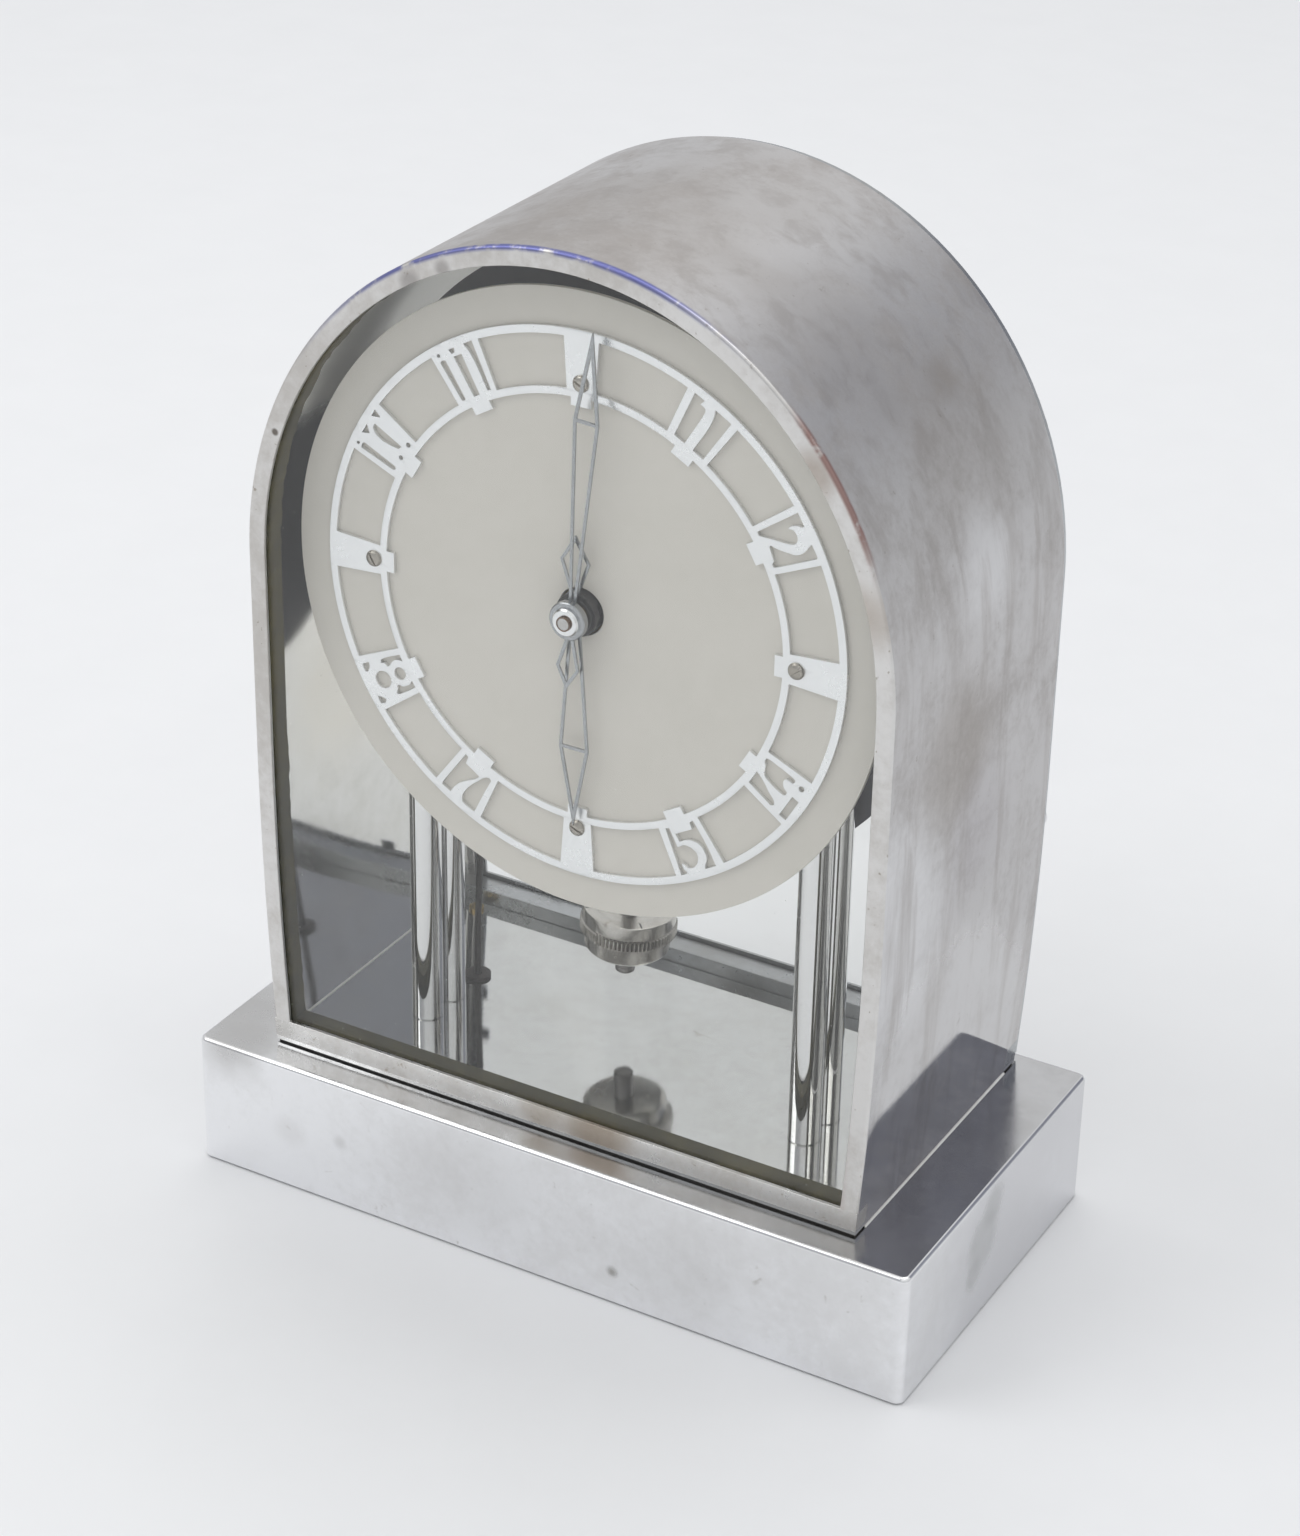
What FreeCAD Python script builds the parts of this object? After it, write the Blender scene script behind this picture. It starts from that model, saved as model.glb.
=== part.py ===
import FreeCAD, Part
import math
import os
import re
import Sketcher

os.makedirs("parts", exist_ok=True)
doc = FreeCAD.newDocument("desk_clock")
sheet = doc.addObject("Spreadsheet::Sheet", "Sizes")
V = FreeCAD.Vector
names = []


# Sizes in millimetres and degrees; shares are plain fractions, and text is a formula
# Base: an open-bottomed plated box on felt feet
base_width = 210
base_depth = 107
base_top = 38
base_wall = 1.5
base_skirt = 0.5
base_corner = 2.5
base_edge = 1.3
post_radius = 4
post_x = 97
post_y = 45.5
bottom_x = 102.9
bottom_y = 51.4
bottom_thickness = 2
bottom_corner = 2
foot_radius = 7
foot_height = 1.3
foot_x = 86
foot_y = 36
bottom_top = "foot_height + bottom_thickness"
base_half_width = "base_width / 2"
base_half_depth = "base_depth / 2"
base_inside_x = "base_half_width - base_wall"
base_inside_y = "base_half_depth - base_wall"
base_roof = "base_top - base_wall"
post_screw_radius = 1.5
post_screw_head = 2.8
post_screw_length = 9
head_height = 0.9
screw_clearance = 0.1
overrun = 1

# Battery in its cradle inside the base
cell_radius = 13.1
cell_length = 50
cell_x = 10
cell_y = 5
cell_gap = 0.4
cell_nub_radius = 3.2
cell_nub = 1.4
tray_wall = 2
tray_half_width = 14.5
tray_saddle = 6
tray_end_top = 24
cell_z = "bottom_top + tray_wall + cell_radius"
leaf_thickness = 0.5
leaf_half_width = 5
leaf_top = 26
cell_start = "cell_x - cell_length / 2"
cell_end = "cell_x + cell_length / 2"
leaf_play = 1.2
leaf_seat_gap = 0.05
leaf_bottom = "cell_z + leaf_seat_gap - sqrt((cell_radius + screw_clearance) ^ 2 - leaf_half_width ^ 2)"

# Case outline: half ellipse on legs that curve in toward the base
case_half_width = 89
arch_rise = 96
shoulder_z = 179
leg_curve_z = 127
leg_radius = 1245
case_front = -44.3
case_rear = 48.8
hoop_wall = 1.6
rim_width = 4.8
rim_thickness = 1.2
rim_round = 0.9
underlay_top = 38.6
floor_lip_top = 39.8
floor_top = 41
sill_top = 45.2
sill_depth = 5.5
rear_sill_front = 42
lip_recess = 0.4
floor_clearance = 0.15
floor_split_x = -50
floor_split = 0.8
front_sill_rear = "case_front + sill_depth"
rim_rear = "case_front + rim_thickness"
rear_rim_front = "case_rear - rim_thickness"
glass_thickness = 1.4
glass_inset = 1.9
gasket_depth = 5.8
gasket_inset = 4.6
gasket_bottom = 44.8
gasket_outer_inset = 1.7
glass_rear = "rim_rear + glass_thickness"
gasket_rear = "glass_rear + gasket_depth"
floor_screw_inset = 14
floor_screw_x = "case_half_width - floor_screw_inset"
floor_screw_y = 38
floor_screw_radius = 1.2
floor_screw_head = 2.1
floor_screw_end = 31

# Columns with studs through the floor
column_x = 56.7
column_front_y = -15
column_rear_y = -4
column_radius = 4.2
column_top = 150
column_flat = 0.4
column_flat_z = 136
column_rear_flat_z = 120
stud_radius = 2
stud_end = 31
stud_nut_across = 7
stud_nut_height = 3
plate_screw_z = 144
plate_screw_radius = 1.5
plate_screw_head = 2.8
plate_screw_length = 7
bush_x = -55.6
bush_y = 8
bush_radius = 2.5
bush_flange = 3.6
bush_bore = 1.1

# Dial, its plates and its ring
dial_z = 181.4
dial_case_gap = 8.2
dial_radius = "case_half_width - dial_case_gap"
dial_front = -32.5
dial_thickness = 1.2
dial_hole = 6.2
ring_thickness = 1
ring_outer = 71.6
ring_outer_band = 2
ring_inner_band = 1.9
ring_inner_band_outer = 56.8
tab_inner = 52.7
tab_width = 5.5
cell_half_angle = 6.2
lug_half_angle = 3.9
ring_screw_at = 58.5
ring_screw_head = 2.15
ring_screw_radius = 1
ring_screw_dome = 1
ring_screw_slot = 0.5
numeral_half_width = 6.9
numeral_dot = 0.45
numeral_bite = 0.1
hour_count = 12
full_turn = 360
ring_front = "dial_front - ring_thickness"
dial_rear = "dial_front + dial_thickness"
front_plate_front = "column_front_y - column_radius + column_flat - front_plate_thickness"
front_plate_thickness = 2
front_plate_half = 61.5
front_plate_bottom = 138
front_plate_top = 212
front_plate_rear = "front_plate_front + front_plate_thickness"
front_plate_corner = 5
rear_plate_thickness = 2.5
rear_plate_case_gap = 6.5
rear_plate_radius = "case_half_width - rear_plate_case_gap"
rear_plate_front = "column_rear_y + column_radius - column_flat"
rear_plate_rear = "rear_plate_front + rear_plate_thickness"
pillar_radius = 2.5
pillar_x = 42
pillar_low_z = 150
pillar_high_z = 203
pillar_spigot = 1.5
dial_foot_radius = 2
dial_foot_x = 38
dial_foot_high_z = 197
dial_foot_low_z = 147
window_corner = 4

# Going train
gear_module = 0.5
wheel_teeth = 80
second_wheel_teeth = 64
pinion_teeth = 8
ratchet_teeth = 60
ratchet_radius = 12
ratchet_tooth = 0.9
second_angle = 155
third_angle = 65
arbor_radius = 1.5
pivot_radius = 0.8
pivot_clearance = 0.05
arbor_shake = 0.2
wheel_thickness = 1.2
ratchet_thickness = 0.8
centre_wheel_y = -17
second_wheel_y = -12
ratchet_y = -6
mesh_overlap = 0.9
addendum_share = 0.6
root_share = 0.8
tooth_share = 0.36
tip_share = 0.2
foot_share = 0.46
spoke_width = 2.4
wheel_hub = 3.6
wheel_rim = 2.6
pair_distance = "gear_module * (wheel_teeth + pinion_teeth) / 2"
second_distance = "gear_module * (second_wheel_teeth + pinion_teeth) / 2"
second_x = "-pair_distance * cos(180 - second_angle)"
second_z = "dial_z - pair_distance * sin(180 - second_angle)"
ratchet_x = "second_x + second_distance * cos(third_angle)"
ratchet_z = "second_z - second_distance * sin(third_angle)"

# Motion work and hands
cannon_teeth = 12
minute_wheel_teeth = 36
minute_pinion_teeth = 10
hour_teeth = 40
motion_module = 0.5
hour_module = 0.48
stud_angle = 45
motion_stud_radius = 1.2
cannon_radius = 1.9
cannon_bore = 1.56
hour_pipe_bore = 2.05
hour_pipe_radius = 3.2
cannon_start = -21.2
cannon_gear_end = -23.6
minute_wheel_start = -21.9
hour_wheel_start = -25.2
collet_front = -35.1
collet_rear = -29.6
collet_radius = 5.6
hand_thickness = 0.5
hour_pipe_front = -35.9
minute_hand_front = -37.2
boss_front = -39.3
boss_radius = 4.9
nut_radius = 3.6
nut_front = -40.3
nut_chamfer = 0.4
cannon_front = -40.9
hand_fit = 0.06
stud_distance = "motion_module * (cannon_teeth + minute_wheel_teeth) / 2"
motion_x = "-stud_distance * cos(stud_angle)"
motion_z = "dial_z + stud_distance * sin(stud_angle)"
minute_angle = 4
hour_angle = 180
hand_bar = 0.85
minute_tip = 73.4
minute_wide_at = 50.9
minute_wide = 6.9
minute_root_gap = 2
minute_tail = 19
minute_tail_wide_at = 13.4
minute_tail_wide = 6.4
tail_root = 5.2
hour_tip = 57
hour_wide_at = 35.6
hour_wide = 8.2
hour_root_gap = 3.4
hour_tail = 21
hour_tail_wide_at = 14.2
hour_tail_wide = 8.2
hour_hub = 4.6

# Pendulum, hung on a short strip spring behind the rear plate
pivot_y = 9
pivot_z = 218
swing_rest = 3.6
rod_radius = 1.9
rod_top_drop = 9
block_half_width = 3
block_half_depth = 2.2
block_top_drop = 4.5
block_bottom_drop = 12
strip_half_width = 2.4
strip_thickness = 0.3
strip_top_drop = -4
jaw_play = 0.5
strip_bottom_drop = 6
bob_top_drop = 140.9
bob_radius = 12.45
bob_bottom_drop = 145
bob_edge = 0.5
nut_gap = 0.1
rating_flange = 12.85
rating_radius = 11.3
rating_flange_height = 3.2
rating_bottom_drop = 153.9
rating_chamfer = 1.3
rating_bore_clearance = 0.1
knurl_count = 60
knurl_depth = 0.45
knurl_width = 0.62
index_length = 4.6
index_width = 0.45
index_depth = 0.35
bob_rim = 9.6
bob_dish = 0.5
thread_radius = 2.6
thread_top_drop = 139
thread_end_drop = 161.4
magnet_arc = 88
magnet_radius = 2.6
magnet_half_angle = 22
holder_half_width = 5
holder_half_depth = 4.5
holder_half_height = 6
magnet_fit = 0.05
coil_angle = 17
coil_length = 16
coil_bore = 4.4
coil_tube = 5
coil_flange = 9
coil_flange_thickness = 1.2
coil_winding = 8.2
coil_gap = 0.05
cradle_gap = 0.05
cradle_thickness = 1.4
cradle_reach = 18
cradle_tab = 9
coil_x = "magnet_arc * sin(coil_angle)"
coil_z = "pivot_z - magnet_arc * cos(coil_angle)"
pawl_pin_drop = 46
pawl_pin_radius = 0.8
pawl_pin_end = -6.9
pawl_length = 13
pawl_height = 1.2
pawl_beak = 2.6
pawl_boss = 1.9
slot_half_width = 8.5
slot_half_height = 3.4
bracket_half_width = 7
bracket_thickness = 2
jaw_top_drop = -9
jaw_bottom_drop = -1.2
jaw_depth = 2.2
bracket_bottom_z = 214
bracket_top_z = 228

# Terminal and lead
terminal_x = -43
terminal_z = 127
terminal_half_width = 6
terminal_half_height = 5
terminal_depth = 6
lead_radius = 0.9
terminal_screw = 1.4
terminal_screw_head = 0.8
cord_share = 0.45
lead_side_z = 114
lead_drop_x = -53.2
lead_drop_y = 7.5
lead_drop_z = 97
lead_low_x = -55
lead_low_z = 72
lead_bush_z = 52
lead_base_z = 24
lead_turn_x = -47
lead_turn_z = 14
lead_in_x = -30
lead_start_x = "terminal_x - terminal_half_width / 2"
lead_top_y = "rear_plate_rear + terminal_depth / 2"
lead_end_z = "bottom_top + 3 * lead_radius"
slot_z = "pivot_z - pawl_pin_drop"

# Rear door on two hinges
door_gap = 0.3
door_thickness = 2.2
door_inset = 0.8
door_bottom = 39.5
door_opening = 7.5
door_opening_bottom = 46.3
door_glass_inset = 5.7
door_glass_bottom = 44.4
rabbet_inset = 5.5
rabbet_bottom = 44.2
door_front = "case_rear + door_gap"
door_rear = "door_front + door_thickness"
door_glass_front = "door_rear - glass_thickness"
hinge_inset = 1.4
hinge_x = "hinge_inset - case_half_width"
hinge_radius = 1.8
hinge_pin = 0.8
hinge_knuckle = 4.6
hinge_play = 0.15
hinge_low_z = 70
hinge_high_z = 160
hinge_notch_reach = 2.2
hinge_notch_x = "hinge_x + hinge_notch_reach"
hinge_notch_play = 0.35
hinge_leaf_reach = 1.3
hinge_leaf_x = "hinge_x + hinge_leaf_reach"
hinge_leaf_rear = 50.6
door_leaf_reach = 7.6
door_leaf_x = "hinge_x + door_leaf_reach"
door_leaf_thickness = 0.8
hinge_height = "3 * hinge_knuckle + 2 * hinge_play"
hinge_bore_clearance = 0.07
clip_half_width = 2
clip_thickness = 0.6
clip_outer_inset = 3
clip_inner_inset = 9
knob_inset = 4.2
knob_x = "case_half_width - knob_inset"
knob_z = 110
knob_radius = 3
knob_neck = 1.6
knob_height = 1.9
knob_neck_height = 0.7
catch_inset = 6
catch_x = "case_half_width - catch_inset"
catch_thickness = 0.6
catch_front = 44
catch_half_height = 4

# Every number and formula above stands in the sheet under its own name
plain = {name: value for name, value in vars().items() if isinstance(value, (int, float, str))}
for name, value in plain.items():
    if not name.startswith("_"):
        names.append(name)
        row = str(len(names))
        sheet.set("A" + row, name)
        sheet.set("B" + row, "=" + value if isinstance(value, str) else str(value))
        sheet.setAlias("B" + row, name)


class Values:
    def __getattr__(self, name):
        number = sheet.get(name)
        return float(getattr(number, "Value", number))


v = Values()
doc.recompute()


# Expressions name the sheet's values; this adds the sheet's name to them
def bound(text):
    def full(match):
        word = match.group(0)
        return "Sizes." + word if word in names else word
    return re.sub(r"[a-z][a-z0-9_]*", full, text)


TURN = {"X": FreeCAD.Rotation(V(0, 1, 0), 90),
        "Y": FreeCAD.Rotation(V(1, 0, 0), -90),
        "Z": FreeCAD.Rotation()}


def label(obj, name):
    obj.Label = name
    return obj


def move(obj, x="0", y="0", z="0"):
    for side, text in (("x", x), ("y", y), ("z", z)):
        if text != "0":
            obj.setExpression("Placement.Base." + side, bound(text))


def box(name, x0, x1, y0, y1, z0, z1):
    obj = doc.addObject("Part::Box", name)
    obj.setExpression("Length", bound("(" + x1 + ") - (" + x0 + ")"))
    obj.setExpression("Width", bound("(" + y1 + ") - (" + y0 + ")"))
    obj.setExpression("Height", bound("(" + z1 + ") - (" + z0 + ")"))
    move(obj, x0, y0, z0)
    return obj


def rod(name, axis, radius, start, end, x="0", y="0", z="0"):
    obj = doc.addObject("Part::Cylinder", name)
    obj.setExpression("Radius", bound(radius))
    obj.setExpression("Height", bound("(" + end + ") - (" + start + ")"))
    obj.Placement = FreeCAD.Placement(V(0, 0, 0), TURN[axis])
    place = {"X": (start, y, z), "Y": (x, start, z), "Z": (x, y, start)}[axis]
    move(obj, *place)
    return obj


def fuse(name, parts):
    obj = doc.addObject("Part::MultiFuse", name)
    obj.Shapes = parts
    return obj


def cut(name, base, tools):
    tool = tools[0] if len(tools) == 1 else fuse(name + "_cuts", tools)
    obj = doc.addObject("Part::Cut", name)
    obj.Base = base
    obj.Tool = tool
    return obj


def common(name, first, second):
    obj = doc.addObject("Part::Common", name)
    obj.Base = first
    obj.Tool = second
    return obj


def group(name, parts):
    obj = doc.addObject("Part::Compound", name)
    obj.Links = parts
    return obj


def shaped(name, shape):
    obj = doc.addObject("Part::Feature", name)
    obj.Shape = shape
    return obj


# A flat face standing at the origin plane, drawn out along +Y between two sizes
def slab(name, face, y0, y1):
    flat = shaped(name + "_face", face)
    obj = doc.addObject("Part::Extrusion", name)
    obj.Base = flat
    obj.DirMode = "Custom"
    obj.Dir = V(0, 1, 0)
    obj.Solid = True
    obj.setExpression("LengthFwd", bound("(" + y1 + ") - (" + y0 + ")"))
    move(obj, y=y0)
    return obj


def face(points):
    wire = Part.makePolygon([V(x, 0, z) for x, z in points + points[:1]])
    return Part.Face(wire)


# Sketches on a body's own planes; every corner is bound to the sheet
def sketch_on(body, plane, name):
    sketch = body.newObject("Sketcher::SketchObject", name)
    for feature in body.Origin.OriginFeatures:
        if feature.Role == plane:
            sketch.AttachmentSupport = [(feature, "")]
    sketch.MapMode = "FlatFace"
    return sketch


def is_flat(length):
    return round(length, 6) == 0


def offset(sketch, geometry, point, kind, text):
    value = doc_value(text)
    if is_flat(value):
        other = "Y" if kind == "DistanceX" else "X"
        line = -2 if other == "Y" else -1
        sketch.addConstraint(Sketcher.Constraint("PointOnObject", geometry, point, line))
        return
    index = sketch.addConstraint(Sketcher.Constraint(kind, -1, 1, geometry, point, value))
    sketch.setExpression("Constraints[" + str(index) + "]", bound(text))


probe = [0]


def doc_value(text):
    probe[0] += 1
    cell = "D" + str(probe[0])
    sheet.set(cell, "=" + text)
    sheet.recompute()
    number = sheet.get(cell)
    return float(getattr(number, "Value", number))


def polygon(sketch, corners):
    values = [V(doc_value(x), doc_value(y), 0) for x, y in corners]
    count = len(corners)
    for number in range(count):
        sketch.addGeometry(Part.LineSegment(values[number], values[(number + 1) % count]))
    for number in range(count):
        following = (number + 1) % count
        sketch.addConstraint(Sketcher.Constraint("Coincident", number, 2, following, 1))
    for number, (x, y) in enumerate(corners):
        offset(sketch, number, 1, "DistanceX", x)
        offset(sketch, number, 1, "DistanceY", y)


def circle(sketch, x, y, radius):
    centre = V(doc_value(x), doc_value(y), 0)
    number = sketch.addGeometry(Part.Circle(centre, V(0, 0, 1), doc_value(radius)))
    index = sketch.addConstraint(Sketcher.Constraint("Radius", number, doc_value(radius)))
    sketch.setExpression("Constraints[" + str(index) + "]", bound(radius))
    if is_flat(centre.Length):
        sketch.addConstraint(Sketcher.Constraint("Coincident", number, 3, -1, 1))
    else:
        offset(sketch, number, 3, "DistanceX", x)
        offset(sketch, number, 3, "DistanceY", y)


def body_named(name):
    body = doc.addObject("PartDesign::Body", name)
    return body


def pad(body, sketch, length, name):
    feature = body.newObject("PartDesign::Pad", name)
    feature.Profile = sketch
    feature.setExpression("Length", bound(length))
    body.Tip = feature
    doc.recompute()
    return feature


def pocket(body, sketch, length, name):
    feature = body.newObject("PartDesign::Pocket", name)
    feature.Profile = sketch
    feature.setExpression("Length", bound(length))
    before = body.Shape.Volume
    body.Tip = feature
    doc.recompute()
    if is_flat(before - body.Shape.Volume):
        feature.Reversed = True
        doc.recompute()
    return feature


def lift(sketch, height):
    sketch.setExpression("AttachmentOffset.Base.z", bound(height))


def round_edges(body, base, radius, chosen, name):
    edges = ["Edge" + str(number + 1) for number, edge in enumerate(base.Shape.Edges)
             if chosen(edge)]
    feature = body.newObject("PartDesign::Fillet", name)
    feature.Base = (base, edges)
    feature.setExpression("Radius", bound(radius))
    body.Tip = feature
    doc.recompute()
    return feature


def upright(edge):
    box_of = edge.BoundBox
    return is_flat(box_of.XLength) and is_flat(box_of.YLength)


# A turned piece: half outline as (radius, height) pairs, spun about Z
def turned(name, outline):
    body = body_named(name)
    sketch = sketch_on(body, "XZ_Plane", name + "_outline")
    polygon(sketch, outline)
    feature = body.newObject("PartDesign::Revolution", name + "_turned")
    feature.Profile = sketch
    feature.ReferenceAxis = (sketch, ["V_Axis"])
    feature.Angle = 360
    body.Tip = feature
    doc.recompute()
    return body


parts = []


def piece(obj, name):
    label(obj, name)
    parts.append(obj)
    return obj


# Base shell: pad, rounded corners and top edge, hollowed from below
base = body_named("base_shell_body")
sketch = sketch_on(base, "XY_Plane", "base_plan")
polygon(sketch, [("-base_half_width", "-base_half_depth"), ("base_half_width", "-base_half_depth"),
                 ("base_half_width", "base_half_depth"), ("-base_half_width", "base_half_depth")])
lift(sketch, "base_skirt")
block = pad(base, sketch, "base_top - base_skirt", "base_block")
corners = round_edges(base, block, "base_corner", upright, "base_corners")
top_edge = round_edges(base, corners, "base_edge",
                       lambda edge: is_flat(edge.BoundBox.ZMin - v.base_top)
                       and is_flat(edge.BoundBox.ZLength), "base_top_edge")
sketch = sketch_on(base, "XY_Plane", "base_cavity_plan")
polygon(sketch, [("-base_inside_x", "-base_inside_y"), ("base_inside_x", "-base_inside_y"),
                 ("base_inside_x", "base_inside_y"), ("-base_inside_x", "base_inside_y")])
lift(sketch, "base_roof")
cavity = pocket(base, sketch, "base_roof", "base_cavity")
sketch = sketch_on(base, "XY_Plane", "base_posts_plan")
for x in ("-post_x", "post_x"):
    for y in ("-post_y", "post_y"):
        circle(sketch, x, y, "post_radius")
lift(sketch, "bottom_top")
posts = pad(base, sketch, "base_roof - bottom_top", "base_posts")
sketch = sketch_on(base, "XY_Plane", "base_post_holes_plan")
for x in ("-post_x", "post_x"):
    for y in ("-post_y", "post_y"):
        circle(sketch, x, y, "post_screw_radius + screw_clearance")
lift(sketch, "bottom_top + post_screw_length + overrun")
pocket(base, sketch, "post_screw_length + 2 * overrun", "base_post_holes")
sketch = sketch_on(base, "XY_Plane", "base_stud_holes_plan")
for x in ("-column_x", "column_x"):
    for y in ("column_front_y", "column_rear_y"):
        circle(sketch, x, y, "stud_radius + screw_clearance")
for x in ("-floor_screw_x", "floor_screw_x"):
    circle(sketch, x, "floor_screw_y", "floor_screw_radius + screw_clearance")
circle(sketch, "bush_x", "bush_y", "bush_radius + screw_clearance")
lift(sketch, "base_top")
pocket(base, sketch, "base_wall + overrun", "base_stud_holes")
piece(base, "base_shell")

# Bottom plate with its four screws and felt feet
bottom = body_named("bottom_plate_body")
sketch = sketch_on(bottom, "XY_Plane", "bottom_plan")
polygon(sketch, [("-bottom_x", "-bottom_y"), ("bottom_x", "-bottom_y"),
                 ("bottom_x", "bottom_y"), ("-bottom_x", "bottom_y")])
lift(sketch, "foot_height")
plate = pad(bottom, sketch, "bottom_thickness", "bottom_pad")
round_edges(bottom, plate, "bottom_corner", upright, "bottom_corners")
sketch = sketch_on(bottom, "XY_Plane", "bottom_holes_plan")
for x in ("-post_x", "post_x"):
    for y in ("-post_y", "post_y"):
        circle(sketch, x, y, "post_screw_radius + screw_clearance")
lift(sketch, "bottom_top")
pocket(bottom, sketch, "bottom_thickness", "bottom_holes")
piece(bottom, "base_bottom_plate")

screws = []
feet = []
for number, (sx, sy) in enumerate((("-", "-"), ("", "-"), ("-", ""), ("", ""))):
    tag = str(number)
    place = {"x": sx + "post_x", "y": sy + "post_y"}
    shank = rod("bottom_screw_shank" + tag, "Z", "post_screw_radius", "foot_height",
                "bottom_top + post_screw_length", **place)
    head = rod("bottom_screw_head" + tag, "Z", "post_screw_head", "foot_height - head_height",
               "foot_height", **place)
    screws.append(fuse("bottom_screw" + tag, [shank, head]))
    feet.append(rod("foot" + tag, "Z", "foot_radius", "0", "foot_height",
                    x=sx + "foot_x", y=sy + "foot_y"))
piece(group("bottom_screw_set", screws), "bottom_plate_screws")
piece(group("foot_set", feet), "felt_feet")

# Battery cradle with end walls, contact leaves and the dry cell
tray = box("tray_block", "cell_start - cell_gap - leaf_play - leaf_thickness - tray_wall",
           "cell_end + cell_nub + leaf_thickness + leaf_play + tray_wall",
           "cell_y - tray_half_width", "cell_y + tray_half_width",
           "bottom_top", "tray_end_top")
saddle = rod("tray_saddle_cut", "X", "cell_radius + screw_clearance",
             "cell_start - cell_gap - leaf_play - leaf_thickness",
             "cell_end + cell_nub + leaf_thickness + leaf_play", y="cell_y",
             z="cell_z")
trim = box("tray_trim", "cell_start - cell_gap - leaf_play - leaf_thickness",
           "cell_end + cell_nub + leaf_thickness + leaf_play",
           "cell_y - tray_half_width - overrun", "cell_y + tray_half_width + overrun",
           "bottom_top + tray_saddle", "tray_end_top + overrun")
piece(cut("tray", tray, [saddle, trim]), "battery_tray")
left_leaf = box("left_leaf", "cell_start - cell_gap - leaf_thickness", "cell_start - cell_gap",
                "cell_y - leaf_half_width", "cell_y + leaf_half_width",
                "leaf_bottom", "leaf_top")
right_leaf = box("right_leaf", "cell_end + cell_nub", "cell_end + cell_nub + leaf_thickness",
                 "cell_y - leaf_half_width", "cell_y + leaf_half_width",
                 "leaf_bottom", "leaf_top")
left_foot = box("left_leaf_foot", "cell_start - cell_gap - leaf_play - leaf_thickness",
                "cell_start - cell_gap", "cell_y - leaf_half_width",
                "cell_y + leaf_half_width", "leaf_top - leaf_thickness", "leaf_top")
right_foot = box("right_leaf_foot", "cell_end + cell_nub",
                 "cell_end + cell_nub + leaf_play + leaf_thickness",
                 "cell_y - leaf_half_width", "cell_y + leaf_half_width",
                 "leaf_top - leaf_thickness", "leaf_top")
piece(group("leaves", [fuse("left_contact", [left_leaf, left_foot]),
                       fuse("right_contact", [right_leaf, right_foot])]), "battery_contacts")
can = rod("cell_can", "X", "cell_radius", "cell_start", "cell_end", y="cell_y", z="cell_z")
nub = rod("cell_pole", "X", "cell_nub_radius", "cell_end", "cell_end + cell_nub",
          y="cell_y", z="cell_z")
piece(fuse("cell", [can, nub]), "battery_cell")


# Case outline at an inset: half ellipse, straight flank, long leg curve, flat foot
def side_x(inset, z):
    centre = v.case_half_width - v.leg_radius
    drop = max(v.leg_curve_z - z, 0)
    return centre + math.sqrt((v.leg_radius - inset) ** 2 - drop ** 2)


def case_face(inset, bottom):
    half = v.case_half_width - inset
    rise = v.arch_rise - inset
    ellipse = Part.Ellipse(V(0, 0, v.shoulder_z + rise), V(half, 0, v.shoulder_z),
                           V(0, 0, v.shoulder_z))
    edges = [Part.Arc(ellipse, -math.pi / 2, math.pi / 2).toShape()]
    middle = (v.leg_curve_z + bottom) / 2
    for side in (-1, 1):
        flank = [V(side * half, 0, z) for z in (v.shoulder_z, v.leg_curve_z)]
        leg = [V(side * side_x(inset, z), 0, z) for z in (middle, bottom)]
        edges.append(Part.LineSegment(flank[0], flank[1]).toShape())
        edges.append(Part.Arc(flank[1], leg[0], leg[1]).toShape())
    foot = side_x(inset, bottom)
    edges.append(Part.LineSegment(V(-foot, 0, bottom), V(foot, 0, bottom)).toShape())
    return Part.Face(Part.Wire(Part.__sortEdges__(edges)))


def case_block(name, inset, bottom, y0, y1):
    return slab(name, case_face(inset, bottom), y0, y1)


# Hoop: one bent strip with a turned-in rim at each end, notched over the sills
outer = case_block("hoop_outer", 0, v.base_top, "case_front", "case_rear")
inner = case_block("hoop_inner", v.hoop_wall, v.base_top - v.overrun, "rim_rear", "rear_rim_front")
front_hole = case_block("hoop_front_hole", v.rim_width, v.base_top - v.overrun,
                        "case_front - overrun", "rim_rear + overrun")
rear_hole = case_block("hoop_rear_hole", v.rim_width, v.base_top - v.overrun,
                       "rear_rim_front - overrun", "case_rear + overrun")
front_notch = box("hoop_front_notch", "-base_half_width", "base_half_width",
                  "case_front - overrun", "front_sill_rear", "base_top - overrun", "sill_top")
rear_notch = box("hoop_rear_notch", "-base_half_width", "base_half_width",
                 "rear_sill_front", "case_rear + overrun", "base_top - overrun", "sill_top")
hoop = cut("hoop_sharp", outer, [inner, front_hole, rear_hole, front_notch, rear_notch])
doc.recompute()
rounded = doc.addObject("Part::Fillet", "hoop_rounded")
rounded.Base = hoop
chosen = []
for number, edge in enumerate(hoop.Shape.Edges):
    bounds = edge.BoundBox
    middle = edge.valueAt((edge.FirstParameter + edge.LastParameter) / 2)
    flat_front = is_flat(bounds.YLength) and is_flat(bounds.YMin - v.case_front)
    outside = abs(middle.x) > side_x(v.hoop_wall, middle.z) or middle.z > v.shoulder_z
    reach = math.hypot(middle.x / v.case_half_width, (middle.z - v.shoulder_z) / v.arch_rise)
    if middle.z > v.shoulder_z:
        outside = reach > 1 - v.hoop_wall / v.arch_rise
    if flat_front and outside and bounds.ZLength > v.hoop_wall:
        chosen.append((number + 1, v.rim_round, v.rim_round))
rounded.Edges = chosen
piece(rounded, "case_hoop")

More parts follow.
